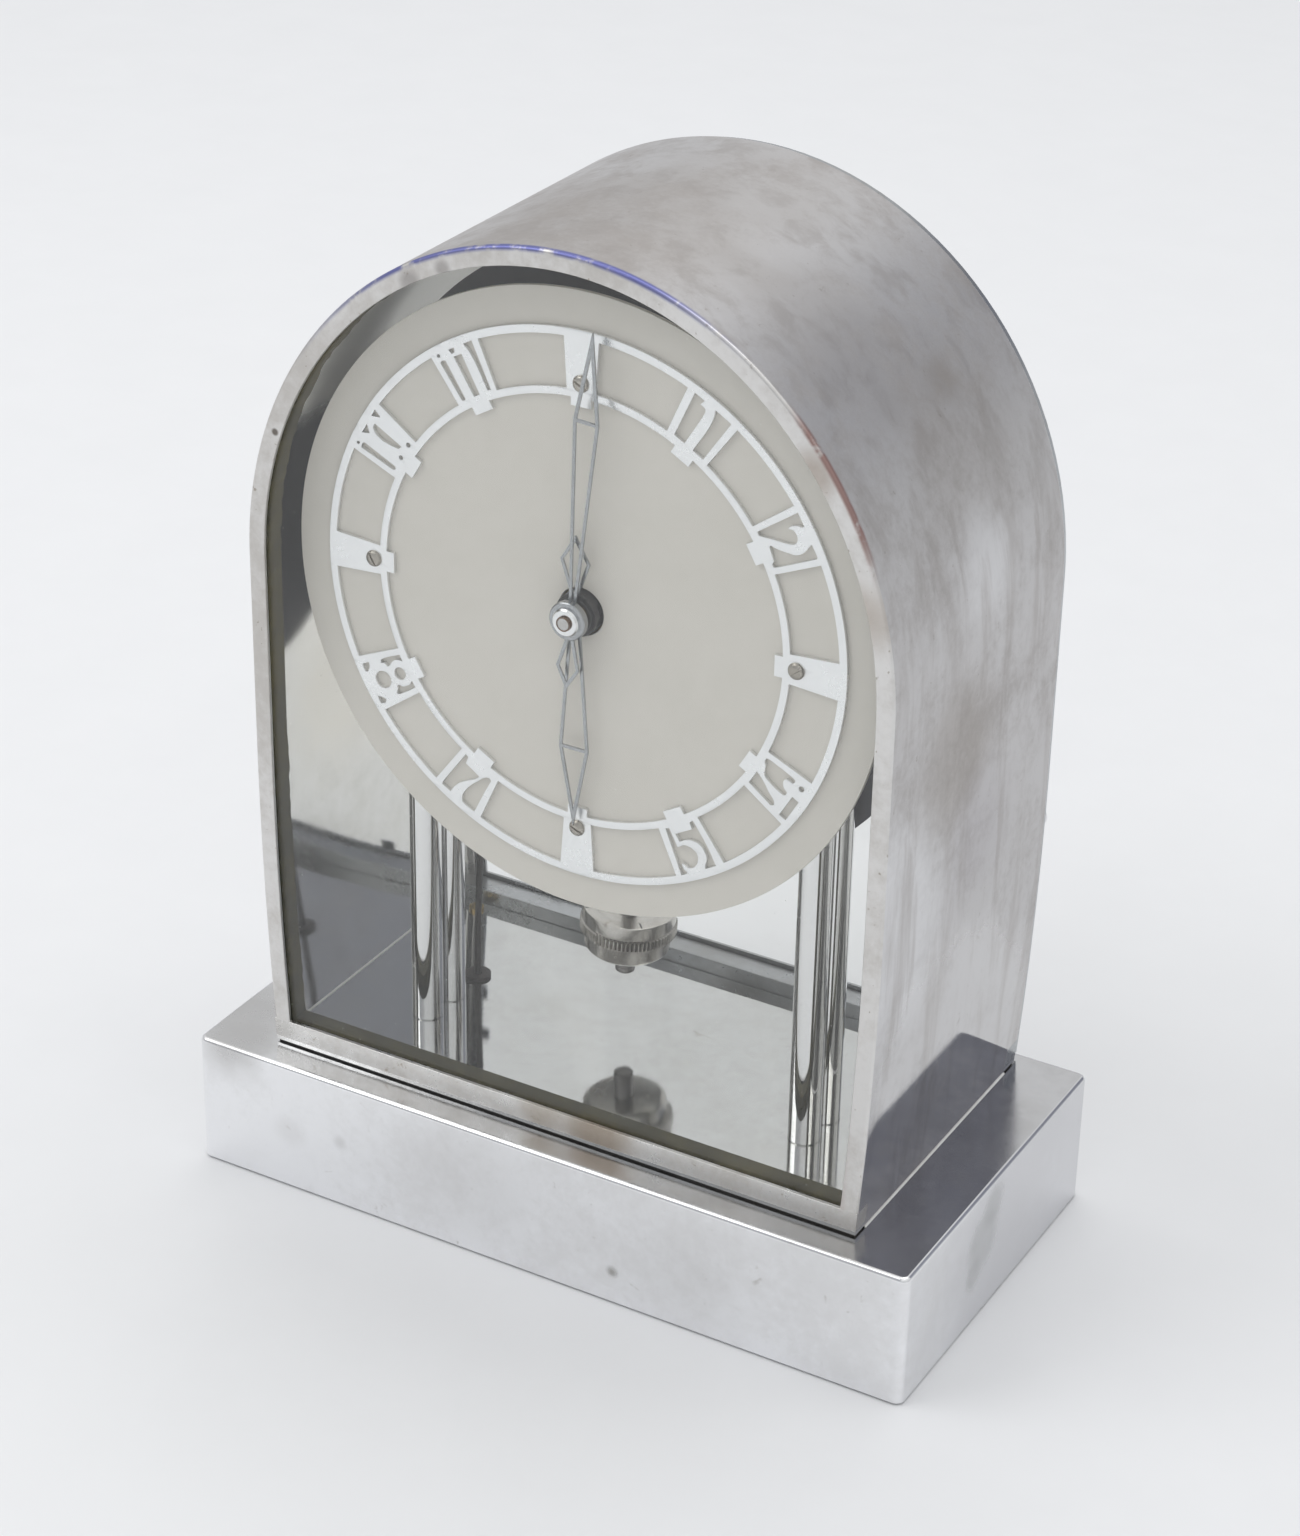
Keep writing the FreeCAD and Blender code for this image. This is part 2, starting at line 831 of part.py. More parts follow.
# Front sill: thin lip over the glass edge, low foot behind, blocks under the rim ends
sill_outer = case_block("sill_outer", 0, v.floor_lip_top, "case_front", "front_sill_rear")
sill_trim = box("sill_trim", "-base_half_width", "base_half_width", "case_front - overrun",
                "front_sill_rear + overrun", "sill_top", "dial_z + case_half_width * 2")
sill_hollow = case_block("sill_hollow", v.hoop_wall, v.floor_top, "rim_rear",
                         "front_sill_rear + overrun")
piece(cut("sill_front", sill_outer, [sill_trim, sill_hollow]), "front_sill")
rear_outer = case_block("rear_sill_outer", 0, v.floor_lip_top, "rear_sill_front", "case_rear")
rear_trim = box("rear_sill_trim", "-base_half_width", "base_half_width",
                "rear_sill_front - overrun", "case_rear + overrun", "sill_top",
                "dial_z + case_half_width * 2")
piece(cut("sill_rear", rear_outer, [rear_trim]), "rear_sill")

# Floor plate: mirror top between the sills, thin lips under them, holes for the studs
floor_full = case_block("floor_full", 0, v.underlay_top, "case_front + lip_recess",
                        "case_rear - lip_recess")
floor_band = box("floor_band", "-base_half_width", "base_half_width", "case_front",
                 "case_rear", "underlay_top", "floor_top")
floor_raw = common("floor_raw", floor_full, floor_band)
lip_cuts = [box("floor_lip_cut_front", "-base_half_width", "base_half_width",
                "case_front - overrun", "front_sill_rear", "floor_lip_top",
                "floor_top + overrun"),
            box("floor_lip_cut_rear", "-base_half_width", "base_half_width",
                "rear_sill_front", "case_rear + overrun", "floor_lip_top",
                "floor_top + overrun")]
wall_ring = cut("floor_wall_ring",
                box("floor_wall_box", "-base_half_width", "base_half_width",
                    "front_sill_rear", "rear_sill_front", "base_top", "floor_top + overrun"),
                [case_block("floor_wall_inner", v.hoop_wall + v.floor_clearance,
                            v.base_top - v.overrun, "front_sill_rear - overrun",
                            "rear_sill_front + overrun")])


def floor_holes(tag):
    holes = []
    for sx in ("-", ""):
        for y in ("column_front_y", "column_rear_y"):
            holes.append(rod(tag + sx + y, "Z", "stud_radius + screw_clearance",
                             "base_top - overrun", "floor_top + overrun",
                             x=sx + "column_x", y=y))
        holes.append(rod(tag + sx + "screw", "Z", "floor_screw_radius + screw_clearance",
                         "base_top - overrun", "floor_top + overrun",
                         x=sx + "floor_screw_x", y="floor_screw_y"))
    holes.append(rod(tag + "bush", "Z", "bush_radius + screw_clearance", "base_top - overrun",
                     "floor_top + overrun", x="bush_x", y="bush_y"))
    return holes


piece(cut("floor_cut", floor_raw, lip_cuts + [wall_ring] + floor_holes("floor_hole")),
      "floor_plate")
under_full = case_block("underlay_full", v.lip_recess, v.base_top, "case_front + 2 * lip_recess",
                        "case_rear - 2 * lip_recess")
under_band = box("underlay_band", "-base_half_width", "base_half_width", "case_front",
                 "case_rear", "base_top", "underlay_top")
under_ring = cut("underlay_wall_ring",
                 box("underlay_wall_box", "-base_half_width", "base_half_width",
                     "front_sill_rear - lip_recess", "rear_sill_front + lip_recess",
                     "base_top - overrun", "underlay_top + overrun"),
                 [case_block("underlay_wall_inner", v.hoop_wall + v.floor_clearance,
                             v.base_top - 2 * v.overrun, "front_sill_rear - overrun",
                             "rear_sill_front + overrun")])
under_raw = common("underlay_raw", under_full, under_band)
under_break = box("underlay_break", "floor_split_x", "floor_split_x + floor_split",
                  "case_front", "case_front + 4 * lip_recess", "base_top - overrun",
                  "underlay_top + overrun")
piece(cut("underlay_cut", under_raw, [under_ring, under_break] + floor_holes("underlay_hole")),
      "case_underlay")

# Front glass and the soft strip behind it
piece(case_block("glass_front", v.glass_inset, v.floor_top, "rim_rear", "glass_rear"),
      "front_glass")
strip_outer = case_block("gasket_outer", v.gasket_outer_inset, v.floor_top, "glass_rear",
                         "gasket_rear")
strip_inner = case_block("gasket_inner", v.gasket_inset, v.gasket_bottom,
                         "glass_rear - overrun", "gasket_rear + overrun")
piece(cut("gasket", strip_outer, [strip_inner]), "glass_gasket")

# Floor screws and the bush that passes the lead
screws = []
for tag, sx in (("left", "-"), ("right", "")):
    place = {"x": sx + "floor_screw_x", "y": "floor_screw_y"}
    screws.append(fuse("floor_screw_" + tag, [
        rod("floor_shank_" + tag, "Z", "floor_screw_radius", "floor_screw_end", "floor_top",
            **place),
        rod("floor_head_" + tag, "Z", "floor_screw_head", "floor_top",
            "floor_top + head_height", **place)]))
piece(group("floor_screw_set", screws), "floor_screws")
bush = fuse("bush_solid", [
    rod("bush_tube", "Z", "bush_radius", "base_roof", "floor_top", x="bush_x", y="bush_y"),
    rod("bush_rim", "Z", "bush_flange", "floor_top", "floor_top + head_height",
        x="bush_x", y="bush_y")])
piece(cut("bush", bush, [rod("bush_hole", "Z", "bush_bore", "base_roof - overrun",
                             "floor_top + 2 * overrun", x="bush_x", y="bush_y")]), "lead_bush")

# Columns: plated rods flattened where the plates seat, with studs and nuts below
column_names = (("column_front_left", "-", "column_front_y", -1),
                ("column_front_right", "", "column_front_y", -1),
                ("column_rear_left", "-", "column_rear_y", 1),
                ("column_rear_right", "", "column_rear_y", 1))
plate_screws = []
stud_nuts = []
for tag, sx, y, side in column_names:
    place = {"x": sx + "column_x", "y": y}
    shaft = rod(tag + "_shaft", "Z", "column_radius", "floor_top", "column_top", **place)
    stud = rod(tag + "_stud", "Z", "stud_radius", "stud_end", "floor_top", **place)
    if side < 0:
        flat = box(tag + "_flat", sx + "column_x - 2 * column_radius",
                   sx + "column_x + 2 * column_radius", "front_plate_rear - overrun",
                   "front_plate_rear", "column_flat_z", "column_top + overrun")
        hole = rod(tag + "_hole", "Y", "plate_screw_radius + screw_clearance",
                   "front_plate_rear - overrun", "front_plate_front + plate_screw_length",
                   x=sx + "column_x", z="plate_screw_z")
        shank = rod(tag + "_screw_shank", "Y", "plate_screw_radius", "front_plate_front",
                    "front_plate_front + plate_screw_length", x=sx + "column_x",
                    z="plate_screw_z")
        head = rod(tag + "_screw_head", "Y", "plate_screw_head",
                   "front_plate_front - 2 * head_height", "front_plate_front",
                   x=sx + "column_x", z="plate_screw_z")
    else:
        flat = box(tag + "_flat", sx + "column_x - 2 * column_radius",
                   sx + "column_x + 2 * column_radius", "rear_plate_front",
                   "rear_plate_front + overrun", "column_rear_flat_z", "column_top + overrun")
        hole = rod(tag + "_hole", "Y", "plate_screw_radius + screw_clearance",
                   "rear_plate_rear - plate_screw_length", "rear_plate_front + overrun",
                   x=sx + "column_x", z="plate_screw_z")
        shank = rod(tag + "_screw_shank", "Y", "plate_screw_radius",
                    "rear_plate_rear - plate_screw_length", "rear_plate_rear",
                    x=sx + "column_x", z="plate_screw_z")
        head = rod(tag + "_screw_head", "Y", "plate_screw_head", "rear_plate_rear",
                   "rear_plate_rear + 2 * head_height", x=sx + "column_x", z="plate_screw_z")
    piece(cut(tag + "_cut", fuse(tag + "_solid", [shaft, stud]), [flat, hole]), tag)
    plate_screws.append(fuse(tag + "_screw", [shank, head]))
    nut = doc.addObject("Part::Prism", tag + "_nut")
    nut.Polygon = 6
    nut.setExpression("Circumradius", bound("stud_nut_across / sqrt(3)"))
    nut.setExpression("Height", bound("stud_nut_height"))
    move(nut, sx + "column_x", y, "base_roof - stud_nut_height")
    stud_nuts.append(cut(tag + "_nut_cut", nut, [
        rod(tag + "_nut_hole", "Z", "stud_radius + screw_clearance / 2",
            "base_roof - stud_nut_height - overrun", "base_roof + overrun", **place)]))
piece(group("column_screw_set", plate_screws), "column_screws")
piece(group("column_nut_set", stud_nuts), "column_nuts")

# Front movement plate, with lightening windows either side of the train
front_plate = body_named("front_plate_body")
sketch = sketch_on(front_plate, "XZ_Plane", "front_plate_plan")
polygon(sketch, [("-front_plate_half", "front_plate_bottom"),
                 ("front_plate_half", "front_plate_bottom"),
                 ("front_plate_half", "front_plate_top"),
                 ("-front_plate_half", "front_plate_top")])
lift(sketch, "-front_plate_rear")
plate = pad(front_plate, sketch, "front_plate_thickness", "front_plate_pad")


def along_y(edge):
    bounds = edge.BoundBox
    return is_flat(bounds.XLength) and is_flat(bounds.ZLength)


round_edges(front_plate, plate, "front_plate_corner", along_y, "front_plate_corners")
sketch = sketch_on(front_plate, "XZ_Plane", "front_plate_holes_plan")
for sx in ("-", ""):
    circle(sketch, sx + "column_x", "plate_screw_z", "plate_screw_radius + screw_clearance")
    for z in ("pillar_low_z", "pillar_high_z"):
        circle(sketch, sx + "pillar_x", z, "pillar_spigot + screw_clearance")
circle(sketch, "0", "dial_z", "cannon_radius + screw_clearance")
circle(sketch, "second_x", "second_z", "pivot_radius + pivot_clearance")
circle(sketch, "ratchet_x", "ratchet_z", "pivot_radius + pivot_clearance")
lift(sketch, "-front_plate_front + overrun")
pocket(front_plate, sketch, "front_plate_thickness + 2 * overrun", "front_plate_holes")
piece(front_plate, "front_movement_plate")

# Rear movement plate: a black disc with slots for the pawl and the coil
rear_plate = body_named("rear_plate_body")
sketch = sketch_on(rear_plate, "XZ_Plane", "rear_plate_plan")
circle(sketch, "0", "dial_z", "rear_plate_radius")
lift(sketch, "-rear_plate_rear")
pad(rear_plate, sketch, "rear_plate_thickness", "rear_plate_pad")
sketch = sketch_on(rear_plate, "XZ_Plane", "rear_plate_holes_plan")
for sx in ("-", ""):
    circle(sketch, sx + "column_x", "plate_screw_z", "plate_screw_radius + screw_clearance")
    for z in ("pillar_low_z", "pillar_high_z"):
        circle(sketch, sx + "pillar_x", z, "pillar_spigot + screw_clearance")
circle(sketch, "0", "dial_z", "pivot_radius + pivot_clearance")
circle(sketch, "second_x", "second_z", "pivot_radius + pivot_clearance")
circle(sketch, "ratchet_x", "ratchet_z", "pivot_radius + pivot_clearance")
lift(sketch, "-rear_plate_front + overrun")
pocket(rear_plate, sketch, "rear_plate_thickness + 2 * overrun", "rear_plate_holes")
sketch = sketch_on(rear_plate, "XZ_Plane", "pawl_slot_plan")
doc.recompute()
polygon(sketch, [("-slot_half_width", "slot_z - slot_half_height"),
                 ("slot_half_width", "slot_z - slot_half_height"),
                 ("slot_half_width", "slot_z + slot_half_height"),
                 ("-slot_half_width", "slot_z + slot_half_height")])
lift(sketch, "-rear_plate_front + overrun")
pocket(rear_plate, sketch, "rear_plate_thickness + 2 * overrun", "pawl_slot")
doc.recompute()
tilt = FreeCAD.Placement(V(v.coil_x, 0, v.coil_z),
                         FreeCAD.Rotation(V(0, 1, 0), -v.coil_angle))
coil_window = box("coil_window", "-(coil_length / 2 + overrun)", "coil_length / 2 + overrun",
                  "rear_plate_front - overrun", "rear_plate_rear + overrun",
                  "-(coil_flange + overrun)", "coil_flange + overrun")


def tilted(obj):
    holder = doc.addObject("Part::Compound", obj.Name + "_tilted")
    holder.Links = [obj]
    holder.Placement = tilt
    return holder


piece(cut("rear_plate_cut", rear_plate, [tilted(coil_window)]), "rear_movement_plate")

# Pillars between the plates and feet that carry the dial
pillars = []
dial_feet = []
for sx in ("-", ""):
    for z in ("pillar_low_z", "pillar_high_z"):
        tag = sx.replace("-", "left") + z
        pillars.append(fuse("pillar_" + tag, [
            rod("pillar_body_" + tag, "Y", "pillar_radius", "front_plate_rear",
                "rear_plate_front", x=sx + "pillar_x", z=z),
            rod("pillar_ends_" + tag, "Y", "pillar_spigot", "front_plate_front",
                "rear_plate_rear", x=sx + "pillar_x", z=z)]))
for tag, x, z in (("left", "-dial_foot_x", "dial_foot_high_z"),
                  ("right", "dial_foot_x", "dial_foot_high_z"), ("low", "0", "dial_foot_low_z")):
    dial_feet.append(rod("dial_foot_" + tag, "Y", "dial_foot_radius", "dial_rear",
                         "front_plate_front", x=x, z=z))
piece(group("pillar_set", pillars), "plate_pillars")
piece(group("dial_foot_set", dial_feet), "dial_feet")

# Dial: a painted disc with the hand hole and four ring screw holes
dial = body_named("dial_body")
sketch = sketch_on(dial, "XZ_Plane", "dial_plan")
circle(sketch, "0", "dial_z", "dial_radius")
lift(sketch, "-dial_rear")
pad(dial, sketch, "dial_thickness", "dial_pad")
sketch = sketch_on(dial, "XZ_Plane", "dial_holes_plan")
circle(sketch, "0", "dial_z", "dial_hole")
for x, z in (("ring_screw_at", "dial_z"), ("-ring_screw_at", "dial_z"),
             ("0", "dial_z + ring_screw_at"), ("0", "dial_z - ring_screw_at")):
    circle(sketch, x, z, "ring_screw_radius + screw_clearance")
lift(sketch, "-dial_front + overrun")
pocket(dial, sketch, "dial_thickness + 2 * overrun", "dial_holes")
piece(dial, "dial")


# Chapter ring: two bands, twelve cells and tabs, with the numerals left between windows
def disc(radius, x=0, z=0):
    wire = Part.Wire(Part.makeCircle(radius, V(x, 0, z), V(0, -1, 0)))
    return Part.Face(wire)


def turned_about_hub(flat, degrees):
    copy = flat.copy()
    copy.rotate(V(0, 0, 0), V(0, 1, 0), degrees)
    return copy


def sector(half_angle, inner, outer):
    half = math.radians(half_angle)
    side = math.sin(half)
    up = math.cos(half)
    return face([(-inner * side, inner * up), (inner * side, inner * up),
                 (outer * side, outer * up), (-outer * side, outer * up)])


numerals = {
    1: ([[(-0.79, 1), (-0.39, 1), (-0.43, 0.87), (-0.25, 0.87), (-0.14, 0.8),
          (-0.16, 0), (-0.61, 0)],
         [(0.14, 1), (0.21, 0.83), (0.21, 0.02), (0.67, 0), (0.81, 0.98)]], []),
    2: ([[(-0.83, 1), (-0.33, 1), (-0.43, 0.86), (-0.47, 0.76), (-0.44, 0.66), (-0.33, 0.73),
          (-0.13, 0.76), (0.06, 0.72), (0.13, 0.64), (0.09, 0.56), (-0.02, 0.45),
          (-0.22, 0.29), (-0.52, 0.02), (-0.61, 0), (-0.67, 0.02)],
         [(0.33, 0.97), (0.37, 0.91), (0.48, 0.79), (0.52, 0.68), (0.5, 0.57), (0.37, 0.45),
          (0.06, 0.23), (-0.08, 0.16), (-0.06, 0.12), (0.28, 0.09), (0.45, 0.08),
          (0.54, 0.02), (0.66, 0.04), (0.84, 0.94)]], []),
    4: ([[(-0.65, 1), (-0.07, 1), (-0.18, 0.8), (-0.4, 0.58), (-0.59, 0.38), (-0.7, 0.36),
          (-0.78, 0.4)],
         [(0.63, 1), (0.47, 0.97), (0.38, 0.92), (0.13, 0.86), (0.02, 0.82), (-0.05, 0.7),
          (-0.09, 0.52), (-0.09, 0.32), (0, 0.29), (0.11, 0.3), (0.17, 0.4), (0.27, 0.45),
          (0.38, 0.48), (0.52, 0.46), (0.55, 0.32), (0.64, 0.29), (0.74, 0.35),
          (0.72, 0.64), (0.66, 0.94)],
         [(-0.84, 0.17), (0.11, 0.17), (0.11, 0.01), (-0.84, 0.01)]], [(0.62, 0.12, 1.6)]),
    5: ([[(-0.61, 1), (-0.46, 1), (-0.48, 0.57), (-0.19, 0.57), (-0.02, 0.52), (0.12, 0.42),
          (0.17, 0.33), (0.09, 0.21), (-0.11, 0.12), (-0.3, 0.1), (-0.44, 0.12),
          (-0.5, 0.2), (-0.58, 0.24), (-0.64, 0.2), (-0.64, 0.12), (-0.58, 0.04),
          (-0.6, 0), (-0.86, 0)],
         [(-0.31, 0.83), (0.45, 0.83), (0.47, 1), (0.63, 1), (0.66, 0.87), (0.73, 0.36),
          (0.71, 0), (0.23, 0), (0.33, 0.1), (0.47, 0.19), (0.52, 0.34), (0.47, 0.49),
          (0.26, 0.61), (0.03, 0.66), (-0.29, 0.66)]], []),
    7: ([[(-0.64, 1), (-0.51, 1), (-0.46, 0.82), (0.21, 0.79), (0.18, 0.71), (-0.04, 0.53),
          (-0.27, 0.32), (-0.36, 0.14), (-0.37, 0), (-0.77, 0), (-0.8, 0.05)],
         [(0.46, 0.89), (0.57, 0.93), (0.68, 0.91), (0.71, 0.56), (0.78, 0.05), (0.6, 0.02),
          (0.4, 0), (0.21, 0.03), (0.1, 0.12), (0.07, 0.26), (0.12, 0.44), (0.26, 0.65)]],
        []),
    8: ([[(-0.65, 1), (-0.39, 1), (-0.49, 0.9), (-0.52, 0.8), (-0.44, 0.68), (-0.38, 0.6),
          (-0.55, 0.55), (-0.6, 0.47), (-0.68, 0.49), (-0.71, 0.56)],
         [(0.43, 1), (0.67, 1), (0.71, 0.56), (0.66, 0.5), (0.54, 0.56), (0.4, 0.61),
          (0.49, 0.71), (0.51, 0.8), (0.5, 0.9)],
         [(-0.76, 0.19), (-0.6, 0.16), (-0.44, 0.06), (-0.49, 0), (-0.68, 0), (-0.78, 0.04)],
         [(0.74, 0.18), (0.85, 0.13), (0.82, 0), (0.63, 0), (0.53, 0.02), (0.6, 0.1)]],
        [(0.01, 0.79, 3.2), (0.02, 0.34, 4.8)]),
    10: ([[(-0.85, 0.85), (-0.72, 0.87), (-0.6, 0.85), (-0.5, 0.08), (-0.59, 0.05),
           (-0.67, 0.08)],
          [(-0.33, 1), (0.08, 1), (-0.14, 0.85)],
          [(0.49, 1), (0.79, 1), (0.71, 0.84), (0.66, 0.83)],
          [(0.33, 0.85), (0.33, 0.17), (0.18, 0.2), (0.04, 0.42), (-0.01, 0.61), (0.04, 0.76),
           (0.16, 0.85)]],
         [(-0.78, 0.94, 1), (-0.04, 0.08, 1.2), (0.59, 0.08, 1.2)]),
    11: ([[(-0.26, 1), (-0.01, 1), (-0.07, 0.9), (-0.21, 0.9)],
          [(-0.82, 0.82), (-0.7, 0.84), (-0.58, 0.82), (-0.5, 0.03), (-0.59, 0.01),
           (-0.66, 0.03)],
          [(-0.18, 0.83), (0.17, 0.83), (0.14, 0.01), (-0.12, 0.01)],
          [(0.43, 1), (0.81, 1), (0.67, 0.02), (0.53, 0.03), (0.52, 0.82)]],
         [(-0.76, 0.94, 1)]),
}

def layer(flat):
    solid = flat.extrude(V(0, v.ring_thickness, 0))
    solid.translate(V(0, v.ring_front, 0))
    return solid


band_inner = v.ring_inner_band_outer
band_outer = v.ring_outer - v.ring_outer_band
ring = layer(disc(v.ring_outer).cut(disc(band_outer)))
layers = [layer(disc(band_inner).cut(disc(band_inner - v.ring_inner_band)))]
middle = (band_inner + band_outer) / 2
height = (band_outer - band_inner) / 2
for hour in range(1, round(v.hour_count) + 1):
    half_angle = v.cell_half_angle if hour in numerals else v.lug_half_angle
    cell = layer(sector(half_angle, band_inner - v.ring_inner_band / 2,
                        band_outer + v.ring_outer_band / 2))
    tab = layer(face([(-v.tab_width / 2, v.tab_inner), (v.tab_width / 2, v.tab_inner),
                      (v.tab_width / 2, band_inner), (-v.tab_width / 2, band_inner)]))
    windows, dots = numerals.get(hour, ([], []))
    flip = -1 if 3 < hour < 9 else 1
    openings = []
    for window in windows:
        outline = [(flip * x * v.numeral_half_width, middle + flip * (2 * y - 1) * height)
                   for x, y in window]
        openings.append(layer(face(outline)))
    for x, y, scale in dots:
        openings.append(layer(disc(scale * v.numeral_dot, flip * x * v.numeral_half_width,
                                   middle + flip * (2 * y - 1) * height)))
    if hour not in numerals:
        openings.append(layer(disc(v.ring_screw_radius + v.screw_clearance, 0,
                                   v.ring_screw_at)))
        tab = tab.cut(openings)
    if openings:
        cell = cell.cut(openings)
    angle = hour * v.full_turn / v.hour_count
    layers += [turned_about_hub(cell, angle), turned_about_hub(tab, angle)]
ring = ring.fuse(layers).removeSplitter()
ring.translate(V(0, 0, v.dial_z))
whole = sorted(ring.Solids, key=lambda one: one.Volume)
print("ring solids", len(whole), [round(one.Volume, 1) for one in whole])
piece(shaped("ring_pierced", whole[-1]), "chapter_ring")

# Ring screws: domed slotted heads on short shanks through the dial
screws = []
for number, (dx, dz) in enumerate(((1, 0), (-1, 0), (0, 1), (0, -1))):
    x = ("" if dx > 0 else "-") + "ring_screw_at" if dx else "0"
    z = "dial_z" + ("" if not dz else (" + " if dz > 0 else " - ") + "ring_screw_at")
    tag = str(number)
    shank = rod("ring_shank" + tag, "Y", "ring_screw_radius", "ring_front",
                "dial_rear + overrun", x=x, z=z)
    ball = doc.addObject("Part::Cone", "ring_head" + tag)
    ball.setExpression("Radius1", bound("ring_screw_head"))
    ball.setExpression("Radius2", bound("ring_screw_head / 2"))
    ball.setExpression("Height", bound("ring_screw_dome"))
    ball.Placement = FreeCAD.Placement(V(0, 0, 0), FreeCAD.Rotation(V(1, 0, 0), 90))
    move(ball, x, "ring_front", z)
    slot = box("ring_slot" + tag, x + " - ring_screw_head", x + " + ring_screw_head",
               "ring_front - ring_screw_dome - overrun",
               "ring_front - ring_screw_dome + ring_screw_slot",
               z + " - ring_screw_slot / 2", z + " + ring_screw_slot / 2")
    screws.append(fuse("ring_screw" + tag, [shank, cut("ring_head_cut" + tag, ball, [slot])]))
piece(group("ring_screw_set", screws), "ring_screws")


# Toothed faces: thin straight-flanked teeth with the first tooth at a given angle
def gear_face(teeth, module, first, hole, spokes=0):
    pitch_radius = module * teeth / 2
    tip_radius = pitch_radius + v.addendum_share * module
    root_radius = pitch_radius - v.root_share * module
    pitch_angle = 2 * math.pi / teeth
    corners = []
    for number in range(teeth):
        centre = math.radians(first) + number * pitch_angle
        for radius, share in ((root_radius, -v.foot_share), (tip_radius, -v.tip_share),
                              (tip_radius, v.tip_share), (root_radius, v.foot_share)):
            angle = centre + share * pitch_angle / 2
            corners.append((radius * math.cos(angle), radius * math.sin(angle)))
    flat = face(corners)
    if hole > 0:
        flat = flat.cut(disc(hole))
    if spokes:
        crossing = disc(root_radius - v.wheel_rim).cut(disc(v.wheel_hub))
        for number in range(spokes):
            half = v.spoke_width / 2
            arm = face([(0, -half), (root_radius, -half), (root_radius, half), (0, half)])
            crossing = crossing.cut(turned_about_hub(arm, number * 360 / spokes))
        flat = flat.cut(crossing)
    return flat


def at(flat, x, z):
    copy = flat.copy()
    copy.translate(V(x, 0, z))
    return copy


# Angles from one centre to the next, seen from the front
to_second = math.degrees(math.atan2(v.second_z - v.dial_z, v.second_x))
to_third = math.degrees(math.atan2(v.ratchet_z - v.second_z, v.ratchet_x - v.second_x))
to_motion = math.degrees(math.atan2(v.motion_z - v.dial_z, v.motion_x))
half_pinion = 180 / v.pinion_teeth

# Centre arbor with its wheel, cannon pinion, minute hand and nut
arbor = fuse("centre_arbor_solid", [
    rod("centre_arbor_rear", "Y", "pivot_radius", "rear_plate_front - arbor_shake",
        "rear_plate_rear", z="dial_z"),
    rod("centre_arbor_front", "Y", "arbor_radius", "cannon_front",
        "rear_plate_front - arbor_shake", z="dial_z")])
piece(arbor, "centre_arbor")
piece(slab("centre_wheel_slab",
           at(gear_face(int(v.wheel_teeth), v.gear_module, to_second,
                        v.arbor_radius, 5), 0, v.dial_z),
           "centre_wheel_y", "centre_wheel_y + wheel_thickness"), "centre_wheel")
cannon_gear = slab("cannon_gear",
                   at(gear_face(int(v.cannon_teeth), v.motion_module, to_motion,
                                v.cannon_bore), 0, v.dial_z),
                   "cannon_gear_end", "cannon_start")
cannon_pipe = rod("cannon_pipe", "Y", "cannon_radius", "cannon_front", "cannon_start", z="dial_z")
cannon_hole = rod("cannon_hole", "Y", "cannon_bore", "cannon_front - overrun",
                  "cannon_start + overrun", z="dial_z")
piece(cut("cannon", fuse("cannon_solid", [cannon_gear, cannon_pipe]), [cannon_hole]),
      "cannon_pinion")


# Hands: open lance outlines made of thin bars, drawn pointing up then turned
def bar(x0, z0, x1, z1, width):
    length = math.hypot(x1 - x0, z1 - z0)
    across = ((z1 - z0) / length * width / 2, -(x1 - x0) / length * width / 2)
    return face([(x0 - across[0], z0 - across[1]), (x0 + across[0], z0 + across[1]),
                 (x1 + across[0], z1 + across[1]), (x1 - across[0], z1 - across[1])])


def hand_face(hub, bore, tip, wide_at, wide, root_gap, tail, tail_wide_at, tail_wide, angle):
    half = v.hand_bar / 2
    bars = [disc(hub)]
    for side in (-1, 1):
        edge = side * (wide / 2 - half)
        root = side * (root_gap / 2 - half)
        tail_edge = side * (tail_wide / 2 - half)
        bars.append(bar(root, 0, edge, wide_at, v.hand_bar))
        bars.append(bar(edge, wide_at, 0, tip - v.hand_bar, v.hand_bar))
        bars.append(bar(side * half, -v.tail_root + v.hand_bar, tail_edge, -tail_wide_at,
                        v.hand_bar))
        bars.append(bar(tail_edge, -tail_wide_at, 0, -tail + half, v.hand_bar))
        bars.append(disc(half, edge, wide_at))
        bars.append(disc(half, tail_edge, -tail_wide_at))
    bars.append(bar(half - wide / 2, wide_at, wide / 2 - half, wide_at, v.hand_bar))
    bars.append(disc(half, 0, half - tail))
    bars.append(face([(-half, tip - 2 * v.hand_bar), (half, tip - 2 * v.hand_bar), (0, tip)]))
    bars.append(bar(0, 0, 0, -v.tail_root, 2 * v.hand_bar))
    flat = bars[0].fuse(bars[1:]).removeSplitter()
    flat = flat.cut(disc(bore))
    largest = sorted(flat.Faces, key=lambda one: one.Area)[-1]
    return at(turned_about_hub(largest, angle), 0, v.dial_z)


